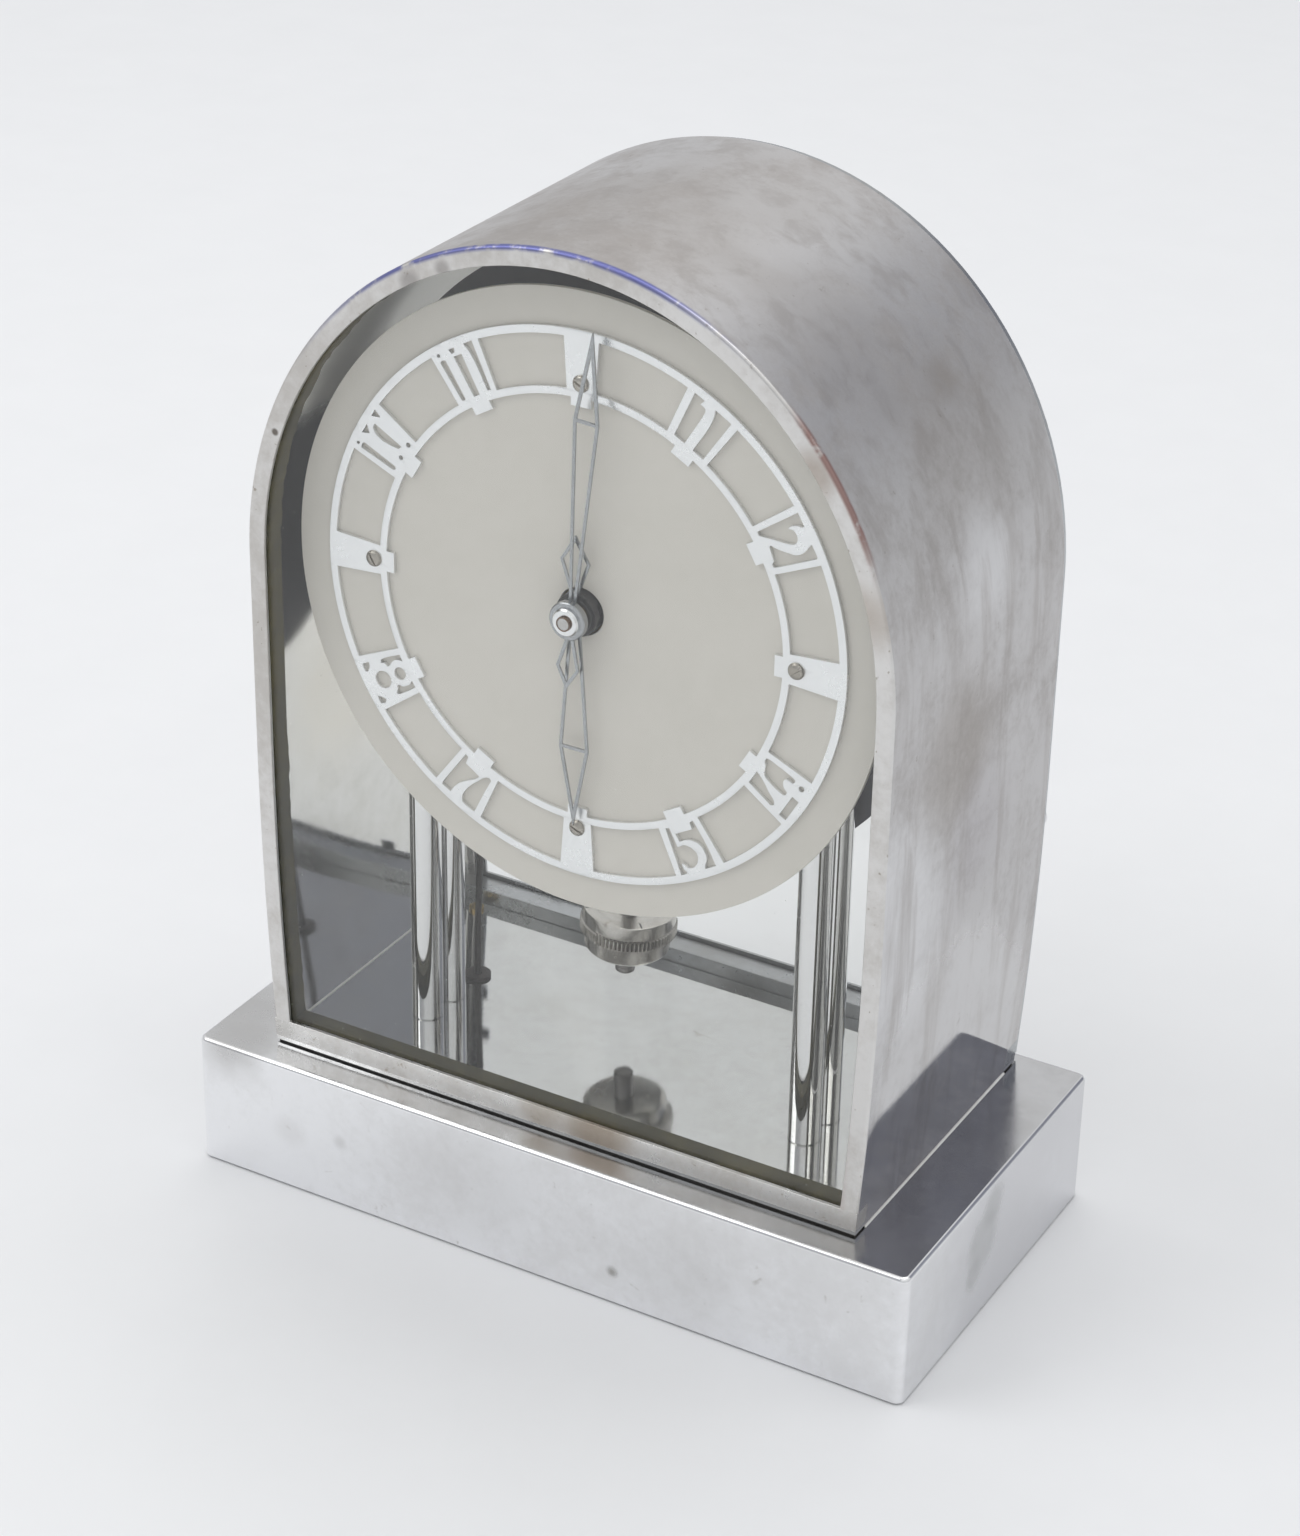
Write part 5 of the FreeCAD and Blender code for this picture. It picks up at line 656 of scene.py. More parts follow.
for node, x, y in (("column_front_left", -56.7, -15), ("column_front_right", 56.7, -15),
        ("column_rear_left", -56.7, -4), ("column_rear_right", 56.7, -4)):
    rim = 0.35 * MM
    profile = [(0, 31 * MM), (2 * MM, 31 * MM), (2 * MM, FLOOR_TOP),
        (COLUMN_R - rim, FLOOR_TOP), (COLUMN_R, FLOOR_TOP + rim), (COLUMN_R, COLUMN_TOP - rim),
        (COLUMN_R - rim, COLUMN_TOP), (0, COLUMN_TOP)]
    post = turned(node + "_post", profile, "Z", (x * MM, y * MM, 0), 72)
    piece(settle(post, angle=30), column_metal, "frame", "bright_chrome", node)

# Dial: a sheet-metal disc painted a satin grey-green, with a hole for the hands' pipes.
# It is carried on feet in front of the movement.
DIAL_FRONT, DIAL_REAR, DIAL_R, HUB_Z = -32.5 * MM, -31.3 * MM, 80.8 * MM, 181.4 * MM
dial_paint = surface("dial_paint", (0.70, 0.665, 0.61), (0.65, 0.62, 0.56), metallic=0.0,
    mottle=0.5, stains=0.12, smooth=0.38, rough=0.55, scratches=0.25, dust=0.12)


def circle(radius, x=0.0, z=0.0, steps=48):
    return [(x + radius * math.cos(2 * math.pi * i / steps),
        z + radius * math.sin(2 * math.pi * i / steps)) for i in range(steps)]


def plate(name, outlines, y0, y1, bevel=0.0, soften=0.0):
    """A flat plate along Y from an outer outline and its holes; corners turning less
    than soften degrees become smooth curves."""
    curve = bpy.data.curves.new(name, "CURVE")
    curve.dimensions = "2D"
    curve.fill_mode = "BOTH"
    curve.extrude = (y1 - y0) / 2 - bevel
    curve.bevel_depth = bevel
    curve.bevel_resolution = 1
    curve.offset = -bevel
    curve.resolution_u = 5
    for outline in outlines:
        count = len(outline)
        spline = curve.splines.new("BEZIER")
        spline.bezier_points.add(count - 1)
        spline.use_cyclic_u = True
        for i, (x, z) in enumerate(outline):
            before = Vector(outline[i]) - Vector(outline[i - 1])
            after = Vector(outline[(i + 1) % count]) - Vector(outline[i])
            turn = math.degrees(before.angle(after, 0.0))
            point = spline.bezier_points[i]
            point.co = (x, z, 0)
            kind = "AUTO" if turn < soften else "VECTOR"
            point.handle_left_type = point.handle_right_type = kind
        if not soften:
            spline.resolution_u = 1
    shape = link(name + "_outline", curve)
    bpy.context.view_layer.update()
    mesh = baked(shape)
    mesh.name = name
    bpy.data.objects.remove(shape)
    bpy.data.curves.remove(curve)
    mesh.transform(Matrix.Translation((0, (y0 + y1) / 2, 0)) @
        Matrix.Rotation(math.pi / 2, 4, "X"))
    bm = bmesh.new()
    bm.from_mesh(mesh)
    close_up(bm, mesh)
    mesh.materials.clear()
    return settle(link(name, mesh), angle=30)


disc = plate("dial_disc", [circle(DIAL_R, 0, HUB_Z, 256), circle(6.2 * MM, 0, HUB_Z, 64)],
    DIAL_FRONT, DIAL_REAR, 0.15 * MM)
piece(disc, dial_paint, "frame", "dial_paint", "dial")

# Chapter ring: sawn from sheet and plated; two bands joined by plain lugs at the
# quarters and by pierced numerals elsewhere, with a square tab inside each
RING_FRONT, RING_OUT, RING_BAND = -33.5 * MM, 71.6 * MM, 69.6 * MM
RING_IN, RING_INNER, TAB_IN, TAB_HALF = 56.8 * MM, 54.9 * MM, 52.7 * MM, 2.75 * MM
NUMERAL_HALF, CELL_ANGLE, LUG_ANGLE, SCREW_CIRCLE = 6.9 * MM, 6.2, 3.9, 58.5 * MM
ring_metal = surface("ring_plate", (0.93, 0.94, 0.95), (0.84, 0.85, 0.85), mottle=0.15,
    stains=0.05, smooth=0.24, rough=0.36, scratches=0.15, dust=0.05)
# Each window is a row of corners and each dot a centre, in hundredths of the cell,
# measured after the photograph; a dot ends with its radius in mm
numerals = {
    1: ([[(-79, 100), (-39, 100), (-37, 98), (-43, 87), (-25, 87), (-17, 84), (-14, 78),
        (-16, 0), (-61, 0)], [(14, 100), (11, 98), (21, 83), (21, 2), (67, 0), (81, 98)]], []),
    2: ([[(-83, 99), (-33, 99), (-32, 95), (-43, 86), (-47, 76), (-46, 68), (-42, 65),
        (-33, 73), (-13, 76), (6, 72), (13, 64), (9, 56), (-2, 45), (-22, 29), (-52, 2),
        (-61, 0), (-67, 2)], [(33, 97), (37, 91), (48, 79), (52, 68), (50, 57), (37, 45),
        (6, 23), (-8, 16), (-6, 12), (28, 9), (45, 8), (54, 1), (63, 1), (66, 4), (84, 94),
        (79, 97)]], []),
    4: ([[(-65, 99), (-7, 98), (-18, 80), (-40, 58), (-59, 38), (-70, 36), (-78, 40)],
        [(63, 98), (47, 97), (38, 92), (13, 86), (2, 82), (-5, 70), (-9, 52), (-9, 32),
        (-2, 29), (11, 30), (17, 40), (27, 45), (38, 48), (52, 46), (55, 37), (55, 32),
        (63, 29), (73, 31), (74, 40), (72, 64), (66, 94)], [(-84, 17), (11, 17), (11, 1),
        (-84, 1)]], [(62, 12, 0.72)]),
    5: ([[(-61, 99), (-46, 97), (-48, 57), (-36, 57), (-19, 57), (-2, 52), (12, 43), (17, 34),
        (9, 21), (-11, 12), (-30, 10), (-44, 12), (-48, 16), (-58, 24), (-64, 22), (-64, 12),
        (-58, 5), (-60, 0), (-86, 0)], [(-31, 83), (-8, 83), (45, 83), (47, 97), (63, 99),
        (66, 87), (73, 36), (71, 0), (23, 0), (30, 8), (47, 19), (52, 36), (47, 49), (26, 61),
        (3, 66), (-29, 66)]], []),
    7: ([[(-64, 100), (-51, 98), (-46, 82), (21, 79), (20, 73), (-4, 53), (-27, 32), (-36, 14),
        (-37, 0), (-77, 0), (-80, 5)], [(46, 89), (57, 93), (68, 91), (71, 56), (78, 5),
        (74, 3), (57, 2), (43, 0), (21, 2), (10, 11), (7, 26), (12, 44), (26, 65)]], []),
    8: ([[(-65, 100), (-39, 99), (-49, 90), (-52, 80), (-44, 68), (-38, 62), (-39, 58),
        (-55, 55), (-60, 47), (-68, 49), (-71, 56)], [(43, 100), (67, 99), (71, 56), (68, 51),
        (60, 52), (54, 56), (40, 59), (39, 64), (49, 71), (51, 80), (50, 89), (41, 96)],
        [(-76, 19), (-60, 16), (-44, 6), (-49, 0), (-68, 1), (-78, 4)], [(74, 18), (85, 13),
        (82, 0), (63, 0), (53, 2), (60, 10)]], [(1, 79, 1.65), (2, 34, 2.3)]),
    10: ([[(-85, 85), (-72, 87), (-60, 85), (-50, 8), (-59, 5), (-67, 8)], [(-33, 100),
        (8, 100), (-14, 85)], [(49, 100), (79, 99), (71, 84), (67, 83)], [(33, 85), (33, 17),
        (18, 20), (4, 42), (-1, 61), (4, 76), (16, 85)]], [(-78, 95, 0.38), (-4, 7, 0.55),
        (59, 7, 0.6)]),
    11: ([[(-26, 100), (-1, 100), (-7, 90), (-21, 90)], [(-82, 82), (-70, 84), (-58, 82),
        (-50, 3), (-59, 1), (-66, 3)], [(-18, 83), (17, 83), (14, 1), (-12, 1)], [(43, 100),
        (81, 100), (67, 2), (53, 3), (52, 82)]], [(-76, 95, 0.42)]),
}


def polar(radius, degrees):
    """A point on the dial; degrees run clockwise from twelve."""
    angle = math.radians(degrees)
    return (radius * math.sin(angle), HUB_Z + radius * math.cos(angle))


def on_cell(hour, x, y):
    """A point of an hour's own square: across the cell and from band to band."""
    flip = -1 if 3 < hour < 9 else 1
    middle, half = (RING_BAND + RING_IN) / 2, (RING_BAND - RING_IN) / 2
    across, along = flip * x * NUMERAL_HALF, middle + flip * (2 * y - 1) * half
    angle = math.radians(hour * 30)
    return (across * math.cos(angle) + along * math.sin(angle),
        HUB_Z - across * math.sin(angle) + along * math.cos(angle))


def cell_half(hour):
    return CELL_ANGLE if hour % 12 in numerals else LUG_ANGLE


outlines = [circle(RING_OUT, 0, HUB_Z, 240)]
inner_edge = []
for hour in range(12):
    tab = math.degrees(math.asin(TAB_HALF / RING_INNER))
    centre = hour * 30
    for step in range(14):
        degrees = centre - 30 + tab + (30 - 2 * tab) * step / 13
        inner_edge.append(polar(RING_INNER, degrees))
    for side in (-1, 1):
        angle = math.radians(centre)
        x, along = side * TAB_HALF, TAB_IN
        inner_edge.append((x * math.cos(angle) + along * math.sin(angle),
            HUB_Z - x * math.sin(angle) + along * math.cos(angle)))
outlines.append(inner_edge)
for hour in range(12):
    start = hour * 30 + cell_half(hour)
    end = (hour + 1) * 30 - cell_half(hour + 1)
    steps = 12
    inward = [polar(RING_IN, start + (end - start) * i / steps) for i in range(steps + 1)]
    outward = [polar(RING_BAND, end + (start - end) * i / steps) for i in range(steps + 1)]
    outlines.append(inward + outward)
smooth_holes = []
for hour, (windows, dots) in numerals.items():
    for window in windows:
        smooth_holes.append([on_cell(hour, x / 100, min(max(y / 100, 0.015), 0.985))
            for x, y in window])
    for x, y, radius in dots:
        centre = on_cell(hour, x / 100, y / 100)
        smooth_holes.append(circle(radius * MM, centre[0], centre[1], 20))
for hour in (0, 3, 6, 9):
    centre = polar(SCREW_CIRCLE, hour * 30)
    smooth_holes.append(circle(1.1 * MM, centre[0], centre[1], 20))
ring = plate("ring_pierced", outlines + smooth_holes, RING_FRONT, DIAL_FRONT, 0.1 * MM, 46)
piece(ring, ring_metal, "frame", "ring_metal", "chapter_ring")

# Ring screws: four round-headed steel screws with sawn slots, stopped at any angle.
# One goes through each plain lug of the ring into the dial.
screw_metal = surface("screw_steel", (0.50, 0.47, 0.42), (0.2, 0.17, 0.14), stains=0.4,
    smooth=0.18, rough=0.4, scratches=0.4, dust=0.2)


def block(name, low, high):
    bm = bmesh.new()
    size = [b - a for a, b in zip(low, high)]
    middle = [(a + b) / 2 for a, b in zip(low, high)]
    bmesh.ops.create_cube(bm, size=1,
        matrix=Matrix.Translation(middle) @ Matrix.Diagonal((*size, 1)))
    return from_bmesh(name, bm)


heads = []
for hour, slot_turn in ((0, 25), (3, -38), (6, 20), (9, 60)):
    x, z = polar(SCREW_CIRCLE, hour * 30)
    profile = sized([(0, 2.2), (1, 2.2), (1, -1), (2.15, -1), (2.15, -1.2), (1.95, -1.55),
        (1.5, -1.82), (0.8, -1.97), (0, -2)])
    head = turned("screw_head", profile, "Y", (x, DIAL_FRONT, z), 40)
    slot_cut = block("slot_cut", (-3 * MM, -2.3 * MM, -0.26 * MM),
        (3 * MM, -1.5 * MM, 0.26 * MM))
    slot_cut.data.transform(Matrix.Translation((x, DIAL_FRONT, z)) @
        Matrix.Rotation(math.radians(slot_turn), 4, "Y"))
    cutting = head.modifiers.new("slot", "BOOLEAN")
    cutting.object = slot_cut
    cutting.solver = "EXACT"
    head.data = baked(head)
    head.modifiers.clear()
    bpy.data.objects.remove(slot_cut)
    heads.append(head)
piece(settle(joined("ring_screw_heads", *heads), angle=32), screw_metal, "frame", "steel",
    "ring_screws")

# Hands: thin plated sheet, pierced to open lances, the minute hand on a round boss.
# The hour hand is pressed on a black collet, the minute hand held by a plain nut.
HAND_BAR = 0.85 * MM


def lance(hub, bore, tip, wide_at, wide, root, tail, tail_at, tail_wide, turn):
    """Outer outline and windows of a hand drawn pointing up, then turned on the dial.
    The blade leaves the hub root wide and is widest at wide_at, the tail at tail_at."""
    half, bar, steps = wide / 2, HAND_BAR, 22
    side = [(root / 2, math.sqrt(hub ** 2 - (root / 2) ** 2)), (half, wide_at),
        (half - bar * 0.1, wide_at + bar * 0.8), (0.28 * bar, tip - bar), (0, tip)]
    low = [(0.9 * bar, -math.sqrt(hub ** 2 - (0.9 * bar) ** 2)), (tail_wide / 2, -tail_at),
        (0.35 * bar, -tail + 0.3 * bar), (0, -tail)]
    first, last = math.asin(0.9 * bar / hub) - math.pi / 2, math.atan2(side[0][1], side[0][0])
    sweep = [first + (last - first) * i / steps for i in range(1, steps)]
    right = low[::-1] + [(hub * math.cos(a), hub * math.sin(a)) for a in sweep] + side
    outer = right + [(-x, z) for x, z in right[1:-1]][::-1]
    slope = (half - root / 2) / (wide_at - side[0][1])
    lean = bar * math.sqrt(1 + slope ** 2)
    z_low, z_high, z_base = hub + bar * 0.2, wide_at - bar / 2, wide_at + bar / 2
    narrow, broad = (max(root / 2 + slope * (z - side[0][1]) - lean, 0.25 * bar)
        for z in (z_low, z_high))
    lower = [(-narrow, z_low), (narrow, z_low), (broad, z_high), (-broad, z_high)]
    slope = half / (tip - wide_at)
    thick = bar * math.sqrt(1 + slope ** 2)
    base = half - slope * (z_base - wide_at) - thick
    upper = [(-base, z_base), (base, z_base), (0, tip - thick / slope)]
    slope = (tail_wide / 2 - 0.9 * bar) / (tail_at - hub)
    start = -hub - (bar * math.sqrt(1 + slope ** 2) - 0.9 * bar) / slope - bar * 0.3
    slope = tail_wide / 2 / (tail - tail_at)
    end = -tail + bar * math.sqrt(1 + slope ** 2) / slope
    corner = tail_wide / 2 - 1.02 * bar
    lozenge = [(0, start), (-corner, -tail_at), (0, end), (corner, -tail_at)]
    angle = math.radians(turn)
    return [[(x * math.cos(angle) + z * math.sin(angle),
        HUB_Z - x * math.sin(angle) + z * math.cos(angle)) for x, z in outline]
        for outline in (outer, lower, upper, lozenge, circle(bore, steps=40))]


hand_metal = surface("hand_plate", (0.40, 0.415, 0.43), (0.30, 0.30, 0.30), mottle=0.3,
    smooth=0.16, rough=0.30, scratches=0.25, dust=0.1)
boss_metal = surface("boss_plate", (0.86, 0.87, 0.88), (0.55, 0.54, 0.52), mottle=0.3,
    smooth=0.12, rough=0.28, scratches=0.2, dust=0.1)
hour_flat = plate("hour_lance", lance(4.6 * MM, 3.26 * MM, 57 * MM, 35.6 * MM, 8.2 * MM,
    3.4 * MM, 21 * MM, 14.2 * MM, 8.2 * MM, 180), -35.6 * MM, -35.1 * MM, 0.06 * MM)
piece(hour_flat, hand_metal, "hour_train", "ring_metal", "hour_hand")
minute_flat = plate("minute_lance", lance(4.2 * MM, 1.96 * MM, 73.4 * MM, 50.9 * MM, 6.9 * MM,
    2.0 * MM, 19 * MM, 13.4 * MM, 6.4 * MM, 4), -37.2 * MM, -36.7 * MM, 0.06 * MM)
boss = turned("minute_boss", sized([(1.96, 0), (4.65, 0), (4.9, -0.25), (4.9, -1.85),
    (4.65, -2.1), (1.96, -2.1), (1.96, 0)]), "Y", (0, -37.2 * MM, HUB_Z), 64)
piece(settle(joined("minute_lance_boss", minute_flat, boss), angle=30), hand_metal,
    "minute_train", "ring_metal", "minute_hand")
nut = turned("round_nut", sized([(1.96, 0), (3.6, 0), (3.6, -0.55), (3.2, -1), (1.96, -1),
    (1.96, 0)]), "Y", (0, -39.3 * MM, HUB_Z), 56)
piece(settle(nut, angle=30), boss_metal, "minute_train", "ring_metal", "hand_nut")
collet_black = surface("collet_black", (0.012, 0.012, 0.013), (0.05, 0.045, 0.04), metallic=0.0,
    mottle=0.3, smooth=0.22, rough=0.45, scratches=0.2, dust=0.25)
collet = turned("black_collet", sized([(3.26, 0), (5.35, 0), (5.6, -0.25), (5.6, -5.25),
    (5.35, -5.5), (3.26, -5.5), (3.26, 0)]), "Y", (0, -29.6 * MM, HUB_Z), 64)
piece(settle(collet, angle=30), collet_black, "hour_train", "black_collet", "hour_collet")

# Movement: drawn brass plates, pillars and cut wheels on steel arbors behind the dial.
# The rear plate is a black painted disc that carries the pendulum, coil and terminal.
brass = surface("movement_brass", (0.62, 0.46, 0.20), (0.30, 0.20, 0.10), mottle=0.45,
    stains=0.4, smooth=0.20, rough=0.38, scratches=0.5)
steel = surface("movement_steel", (0.55, 0.54, 0.53), (0.22, 0.16, 0.11), mottle=0.25,
    stains=0.45, smooth=0.16, rough=0.35, scratches=0.4)
pipe_end = surface("cannon_steel", (0.16, 0.10, 0.065), (0.07, 0.04, 0.03), mottle=0.5,
    stains=0.5, smooth=0.25, rough=0.5)
black_paint = surface("dark_lacquer", (0.10, 0.103, 0.118), (0.15, 0.148, 0.15), metallic=0.5,
    stains=0.25, smooth=0.32, rough=0.5, scratches=0.4, dust=0.3)


def dress(material, *nodes):
    """Gives a CAD node's own solid a better finish."""
    for node in nodes:
        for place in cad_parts[node].material_slots:
            place.material = material


dress(brass, "front_movement_plate", "plate_pillars", "centre_wheel", "minute_wheel",
    "hour_wheel", "intermediate_wheel", "ratchet_wheel", "coil_cradle", "battery_contacts")
dress(steel, "bottom_plate_screws", "column_screws", "column_nuts", "centre_arbor",
    "minute_wheel_stud", "dial_feet", "suspension_bracket", "suspension_spring", "pawl",
    "door_catch")
dress(pipe_end, "cannon_pinion")
dress(black_paint, "rear_movement_plate")

# Pendulum: a plated steel rod with a threaded end, drawn hanging straight and then
# swung to where it stopped. A curved magnet bar crosses the rod in its square holder.
PIVOT = Vector((0, 9 * MM, 218 * MM))
SWUNG = (Matrix.Translation(PIVOT) @ Matrix.Rotation(math.radians(3.6), 4, "Y") @
    Matrix.Translation(-PIVOT))
nickel = surface("bob_nickel", (0.62, 0.60, 0.56), (0.36, 0.31, 0.26), mottle=0.5, stains=0.5,
    smooth=0.16, rough=0.34, ripple=0.002, scratches=0.5, dust=0.3)


def hung(obj):
    obj.data.transform(SWUNG)
    return obj


def drop(millimetres):
    return PIVOT.z - millimetres * MM


rod_profile = [(0, drop(9)), (1.7 * MM, drop(9)), (1.9 * MM, drop(9.2)), (1.9 * MM, drop(139)),
    (2.6 * MM, drop(139.3))]
pitch = 0.8
turns = int((160.9 - 139.6) / pitch)
for i in range(turns):
    start = 139.6 + i * pitch
    rod_profile += [(2.6 * MM, drop(start)), (2.28 * MM, drop(start + 0.35 * pitch)),
        (2.28 * MM, drop(start + 0.5 * pitch)), (2.6 * MM, drop(start + 0.85 * pitch))]
rod_profile += [(2.6 * MM, drop(161.0)), (2.2 * MM, drop(161.4)), (0, drop(161.4))]
shaft = turned("rod_shaft", rod_profile, "Z", (0, PIVOT.y, 0), 40)
top_block = settle(block("rod_block", (-3 * MM, PIVOT.y - 2.2 * MM, drop(12)),
    (3 * MM, PIVOT.y + 2.2 * MM, drop(4.5))), 0.25 * MM, 2)
holder = settle(block("magnet_holder", (-5 * MM, PIVOT.y - 4.5 * MM, drop(94)),
    (5 * MM, PIVOT.y + 4.5 * MM, drop(82))), 0.4 * MM, 3)
pin = turned("pawl_pin", sized([(0, -15.9), (0.65, -15.9), (0.8, -15.7), (0.8, 0), (0, 0)]),
    "Y", (0, PIVOT.y, drop(46)), 24)
rod = settle(hung(joined("rod_and_holder", shaft, top_block, holder, pin)), angle=32)
piece(rod, nickel, "pendulum", "steel", "pendulum_rod")
thread_steel = surface("thread_steel", (0.27, 0.26, 0.25), (0.14, 0.12, 0.10), stains=0.4,
    smooth=0.25, rough=0.45, dust=0.1)
rod.data.materials.append(thread_steel)
for face in rod.data.polygons:
    if face.center.z < drop(139.2):
        face.material_index = 1
magnet_grey = surface("magnet_grey", (0.20, 0.20, 0.205), (0.10, 0.09, 0.08), smooth=0.3,
    rough=0.5, scratches=0.4, dust=0.25)
bm = bmesh.new()
disc_end = bmesh.ops.create_circle(bm, cap_ends=True, radius=2.6 * MM, segments=36)
bmesh.ops.transform(bm, verts=disc_end["verts"],
    matrix=Matrix.Translation((0, 0, -88 * MM)) @ Matrix.Rotation(math.pi / 2, 4, "Y"))
bmesh.ops.rotate(bm, verts=bm.verts, cent=(0, 0, 0),
    matrix=Matrix.Rotation(math.radians(-22), 3, "Y"))
bmesh.ops.spin(bm, geom=bm.verts[:] + bm.edges[:] + bm.faces[:], cent=(0, 0, 0), axis=(0, 1, 0),
    angle=math.radians(44), steps=40, use_merge=False)
bmesh.ops.translate(bm, verts=bm.verts, vec=PIVOT)
magnet = settle(hung(from_bmesh("magnet_arc", bm)), 0.3 * MM, 3, 40)
piece(magnet, magnet_grey, "pendulum", "magnet_steel", "magnet_bar")

# Bob and rating nut: two turned nickel-plated drums on the threaded rod. The bob has a
# dished top with an index line; the nut's flange is knurled so it can be turned.
bob_profile = [(2.7, 145), (12.1, 145), (12.35, 144.9), (12.45, 144.65), (12.45, 141.25),
    (12.35, 141.0), (12.1, 140.9), (9.6, 140.9), (9.35, 141.0), (9.1, 141.25), (8.9, 141.4),
    (2.7, 141.4), (2.7, 145)]
bob = turned("bob_drum", [(radius * MM, drop(height)) for radius, height in bob_profile], "Z",
    (0, PIVOT.y, 0), 128)
piece(settle(hung(bob), angle=32), nickel, "pendulum", "nickel", "bob_weight")
index_black = surface("index_black", (0.02, 0.02, 0.02), (0.05, 0.04, 0.03), metallic=0.0,
    smooth=0.5, rough=0.8, dust=0.1)
marks = []
for quarter in range(4):
    mark = block("index_mark", (-0.16 * MM, 9.7 * MM, drop(140.97)),
        (0.16 * MM, 12.1 * MM, drop(140.88)))
    mark.data.transform(Matrix.Translation((0, PIVOT.y, 0)) @
        Matrix.Rotation(math.radians(45 + 90 * quarter), 4, "Z"))
    marks.append(mark)
marks = settle(hung(joined("bob_index", *marks)))
marks.data.materials.append(index_black)
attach(marks, "pendulum")

KNURLS = 72
knurled = []
for i in range(KNURLS * 4):
    angle = 2 * math.pi * i / (KNURLS * 4)
    radius = (12.85 if i % 4 in (1, 2) else 12.3) * MM
    knurled.append((radius * math.cos(angle), radius * math.sin(angle)))


def at_height(outline, shrink, height):
    return [(x * shrink, PIVOT.y + y * shrink, drop(height)) for x, y in outline]


bm = bmesh.new()
skin(bm, [at_height(knurled, 0.975, 145.1), at_height(knurled, 1, 145.4),
    at_height(knurled, 1, 148.0), at_height(knurled, 0.975, 148.3)], caps=True)
flange = from_bmesh("nut_flange", bm)
lower = turned("nut_drum", [(radius * MM, drop(height)) for radius, height in ((2.7, 148.2),
    (11.3, 148.2), (11.3, 152.6), (11.1, 153.0), (10.2, 153.8), (9.9, 153.9), (2.7, 153.9),
    (2.7, 148.2))], "Z", (0, PIVOT.y, 0), 128)
nut_piece = settle(hung(joined("rating_nut_knurled", flange, lower)), angle=25)
piece(nut_piece, nickel, "rating_nut_body", "nickel", "rating_nut")
# The knurl's groove bottoms are painted near black: painted shade in the grooves, with some
# dirt.
groove_shade_and_dirt = surface("groove_shade_and_dirt", (0.10, 0.085, 0.07), (0.05, 0.045, 0.04), metallic=0.4,
    smooth=0.4, rough=0.7, dust=0.1)
nut_piece.data.materials.append(groove_shade_and_dirt)
for face in nut_piece.data.polygons:
    x, y, z = SWUNG.inverted() @ face.center
    if math.hypot(x, y - PIVOT.y) < 12.45 * MM and drop(148.0) < z < drop(145.4):
        face.material_index = 1

# Drive coil: a fibre bobbin wound with many turns of fine lacquered copper wire,
# tilted to follow the magnet, and tied off at the terminal block
fibre = surface("fibre", (0.30, 0.085, 0.05), (0.16, 0.05, 0.03), metallic=0.0, stains=0.2,
    smooth=0.4, rough=0.6, dust=0.25)
copper = surface("lacquered_wire", (0.50, 0.20, 0.08), (0.22, 0.07, 0.03), metallic=0.8,
    stains=0.2, smooth=0.25, rough=0.4, scratches=0.1, dust=0.2)
insulator = surface("insulator", (0.022, 0.015, 0.012), (0.05, 0.035, 0.025), metallic=0.0,
    smooth=0.3, rough=0.5, dust=0.1)
COIL_AT = Vector((25.73 * MM, 9 * MM, 133.85 * MM))
TILT = Matrix.Translation(COIL_AT) @ Matrix.Rotation(math.radians(-17), 4, "Y")
wire = 0.32
wound = [(5.05, -6.75)]
for i in range(int(13.5 / wire)):
    for share, rise in ((0.05, 0.0), (0.3, 0.14), (0.5, 0.18), (0.7, 0.14), (0.95, 0.0)):
        wound.append((8.02 + rise, -6.75 + (i + share) * wire))
wound += [(5.05, 6.75), (5.05, -6.75)]
winding = turned("wire_turns", sized(wound), "X", (0, 0, 0), 64)
winding.data.transform(TILT)
piece(settle(winding, angle=80), copper, "frame", "winding", "coil_winding")
spool_profile = [(4.4, -8), (8.8, -8), (9.0, -7.8), (9.0, -7.0), (8.8, -6.8), (5.0, -6.8),
    (5.0, 6.8), (8.8, 6.8), (9.0, 7.0), (9.0, 7.8), (8.8, 8), (4.4, 8), (4.4, -8)]
spool = turned("coil_spool", sized(spool_profile), "X", (0, 0, 0), 72)
spool.data.transform(TILT)
piece(settle(spool, angle=30), fibre, "frame", "fibre", "coil_bobbin")
dress(insulator, "terminal_block", "lead_bush", "battery_tray")

# Battery lead: thin covered wire from the terminal down behind a column, through the
# bush in the floor and across to the battery cradle in the base
lead_cover = surface("lead_cover", (0.030, 0.027, 0.024), (0.07, 0.06, 0.05), metallic=0.0,
    smooth=0.4, rough=0.65, scratches=0.1, dust=0.12)
route = [(-46, 5.3, 122), (-46, 5.3, 114), (-53.2, 7.5, 97), (-55, 8, 72), (-55.6, 8, 52),
    (-55.6, 8, 24), (-47, 8, 14), (-30, 5, 6), (-19.1, 5, 6)]
curve = bpy.data.curves.new("covered_lead", "CURVE")
curve.dimensions = "3D"
curve.bevel_depth = 0.9 * MM
curve.bevel_resolution = 5
curve.use_fill_caps = True
curve.resolution_u = 12
spline = curve.splines.new("NURBS")
spline.points.add(len(route) - 1)
for point, place in zip(spline.points, route):
    point.co = (*(value * MM for value in place), 1)
spline.order_u = 3
spline.use_endpoint_u = True
lead = link("covered_lead", curve)
piece(lead, lead_cover, "frame", "lead_cover", "battery_lead")

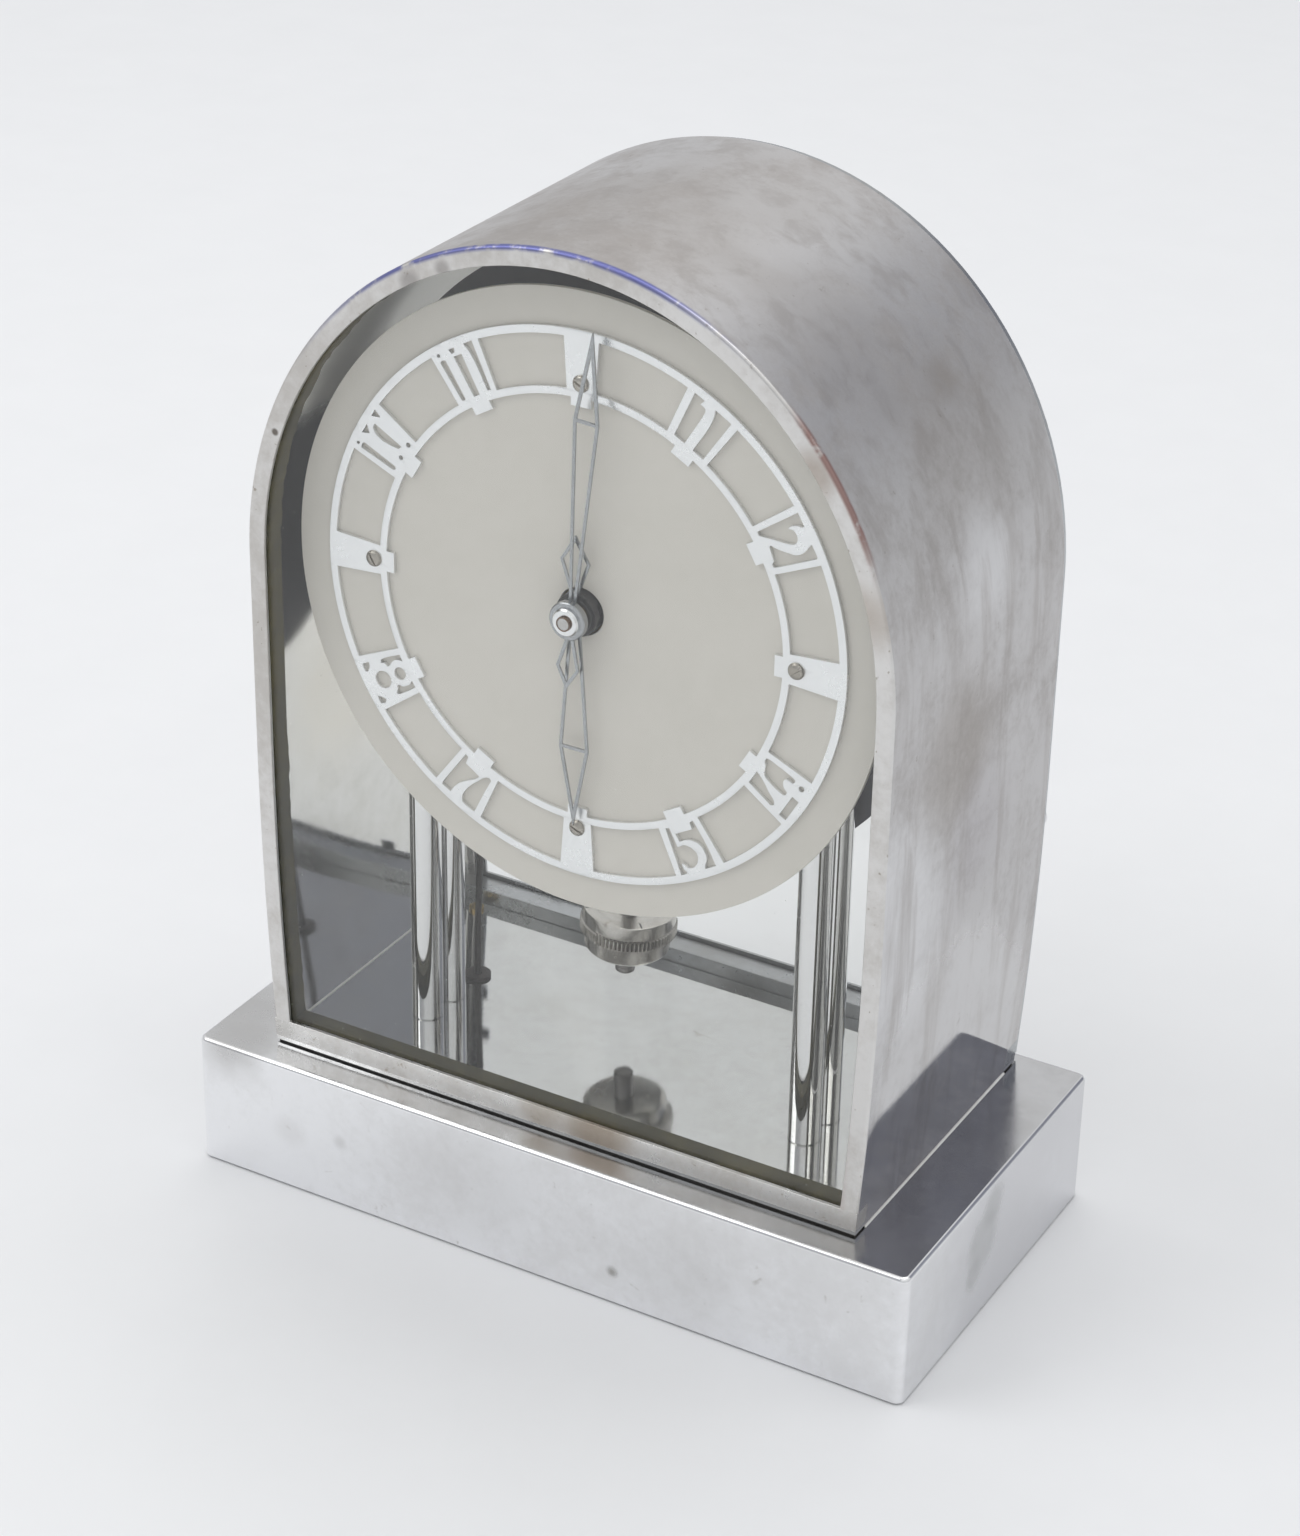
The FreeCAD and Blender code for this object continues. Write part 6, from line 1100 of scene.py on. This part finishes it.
# Base underside and battery: zinc-plated bottom plate on felt feet, and a plain wrapped
# dry cell held in the cradle
zinc = surface("zinc_sheet", (0.42, 0.43, 0.44), (0.25, 0.23, 0.2), mottle=0.5, stains=0.4,
    smooth=0.35, rough=0.55, scratches=0.5, dust=0.3)
felt = surface("felt", (0.05, 0.09, 0.055), (0.03, 0.05, 0.035), metallic=0.0, mottle=0.6,
    stains=0.1, smooth=0.9, rough=1.0, scratches=1.0, dust=0.4)
wrap = surface("cell_wrap", (0.30, 0.27, 0.22), (0.2, 0.17, 0.13), metallic=0.0, smooth=0.3,
    rough=0.5, dust=0.2)
dress(zinc, "base_bottom_plate")
dress(felt, "felt_feet")
dress(wrap, "battery_cell")
dress(brass, "floor_screws")

# Rear door: a flat plated frame round a second glass, hung on two pin hinges, with a
# pull knob, a spring catch and small clips that hold the glass in its rabbet
DOOR_GLASS, DOOR_REAR = 49.9 * MM, 51.3 * MM
# The door frame takes the same darker bluish plating: painted shade and painted reflection.
dress(shaded_rear_metal, "rear_door_frame")
dress(bright, "case_hinges", "door_hinge_knuckles", "door_glass_clips", "door_knob")
rear_pane = prism("pane_rear", arch(5.7 * MM, 44.4 * MM), DOOR_GLASS, DOOR_REAR)
piece(settle(rear_pane), glass, "rear_door", "glass", "rear_glass")

# Studio: one flat pale paper floor under and behind the clock, two soft boxes above it and an
# even pale sky with two darker parts, which the plating mirrors as grey.
ground, net, shader = blank("studio_paper")
grain = net.noise(net.place(), 30.0, 3.0, 0.6)
net.put(shader["Base Color"], net.mix(grain, (0.80, 0.805, 0.815, 1), (0.83, 0.835, 0.845, 1)))
net.put(shader["Roughness"], 0.9)
net.put(shader["Specular IOR Level"], 0.1)
bm = bmesh.new()
bmesh.ops.create_grid(bm, x_segments=1, y_segments=1, size=4.0)
floor = from_bmesh("studio_floor", bm)
floor.data.materials.append(ground)

world = bpy.data.worlds.new("studio")
bpy.context.scene.world = world
world.use_nodes = True
net = Net(world.node_tree)
background = world.node_tree.nodes["Background"]
direction = net.add("ShaderNodeTexCoord").outputs["Generated"]
height = net.parts(direction)["Z"]
sky = net.mix(net.ramp(height, 0.2, 0.85), (0.60, 0.61, 0.625, 1), (0.86, 0.865, 0.87, 1))
for heading, tilt, inner, outer, shade in ((-29, 28, 10, 24, (0.24, 0.25, 0.295, 1)),
        (150, 32, 14, 38, (0.42, 0.43, 0.45, 1))):
    level = math.cos(math.radians(tilt))
    toward = (-math.sin(math.radians(heading)) * level, math.cos(math.radians(heading)) * level,
        math.sin(math.radians(tilt)))
    facing = net.add("ShaderNodeVectorMath", operation="DOT_PRODUCT")
    net.put(facing.inputs[0], direction)
    net.put(facing.inputs[1], toward)
    lobe = net.ramp(facing.outputs["Value"], math.cos(math.radians(outer)),
        math.cos(math.radians(inner)))
    sky = net.mix(lobe, sky, shade)
seen = net.add("ShaderNodeLightPath").outputs["Is Camera Ray"]
net.put(background.inputs["Color"], net.mix(seen, sky, (0.68, 0.685, 0.695, 1)))
background.inputs["Strength"].default_value = 1.06


def soft_box(name, place, target, size, power):
    data = bpy.data.lights.new(name, "AREA")
    data.shape = "RECTANGLE"
    data.size, data.size_y = size
    data.energy = power
    obj = bpy.data.objects.new(name, data)
    bpy.context.scene.collection.objects.link(obj)
    obj.location = place
    obj.rotation_euler = (Vector(target) - Vector(place)).to_track_quat("-Z", "Y").to_euler()


soft_box("key_box", (-1.2, -0.9, 1.7), (0, 0, 0.12), (1.3, 1.3), 10)
soft_box("top_box", (0.1, 0.4, 2.0), (0, 0, 0.1), (1.6, 1.2), 8.5)

# Camera: above and to the right of the clock, as the photograph was taken. Its place,
# tilt and focal length in pixels come from the case's edges in the photograph.
AZIMUTH, ELEVATION, ROLL, FOCAL = 0.513, 0.4915, 0.0195, 3578.31
SENSOR_WIDTH, PICTURE_WIDTH, STANDPOINT = 36, 1300, (0.39234, -0.69464, 0.55112)
back = Vector((math.sin(AZIMUTH) * math.cos(ELEVATION),
    -math.cos(AZIMUTH) * math.cos(ELEVATION), math.sin(ELEVATION)))
right = (-back).cross(Vector((0, 0, 1))).normalized()
up = right.cross(-back).normalized()
across = math.cos(ROLL) * right + math.sin(ROLL) * up
upright = -math.sin(ROLL) * right + math.cos(ROLL) * up
camera_data = bpy.data.cameras.new("camera")
camera = bpy.data.objects.new("camera", camera_data)
bpy.context.scene.collection.objects.link(camera)
camera_data.sensor_fit = "HORIZONTAL"
camera_data.sensor_width = SENSOR_WIDTH
camera_data.lens = FOCAL * SENSOR_WIDTH / PICTURE_WIDTH
camera_data.clip_start = 0.01
turned_to = Matrix((across, upright, back)).transposed().to_4x4()
camera.matrix_world = Matrix.Translation(STANDPOINT) @ turned_to
bpy.context.scene.camera = camera
bpy.context.scene.view_settings.view_transform = "Standard"
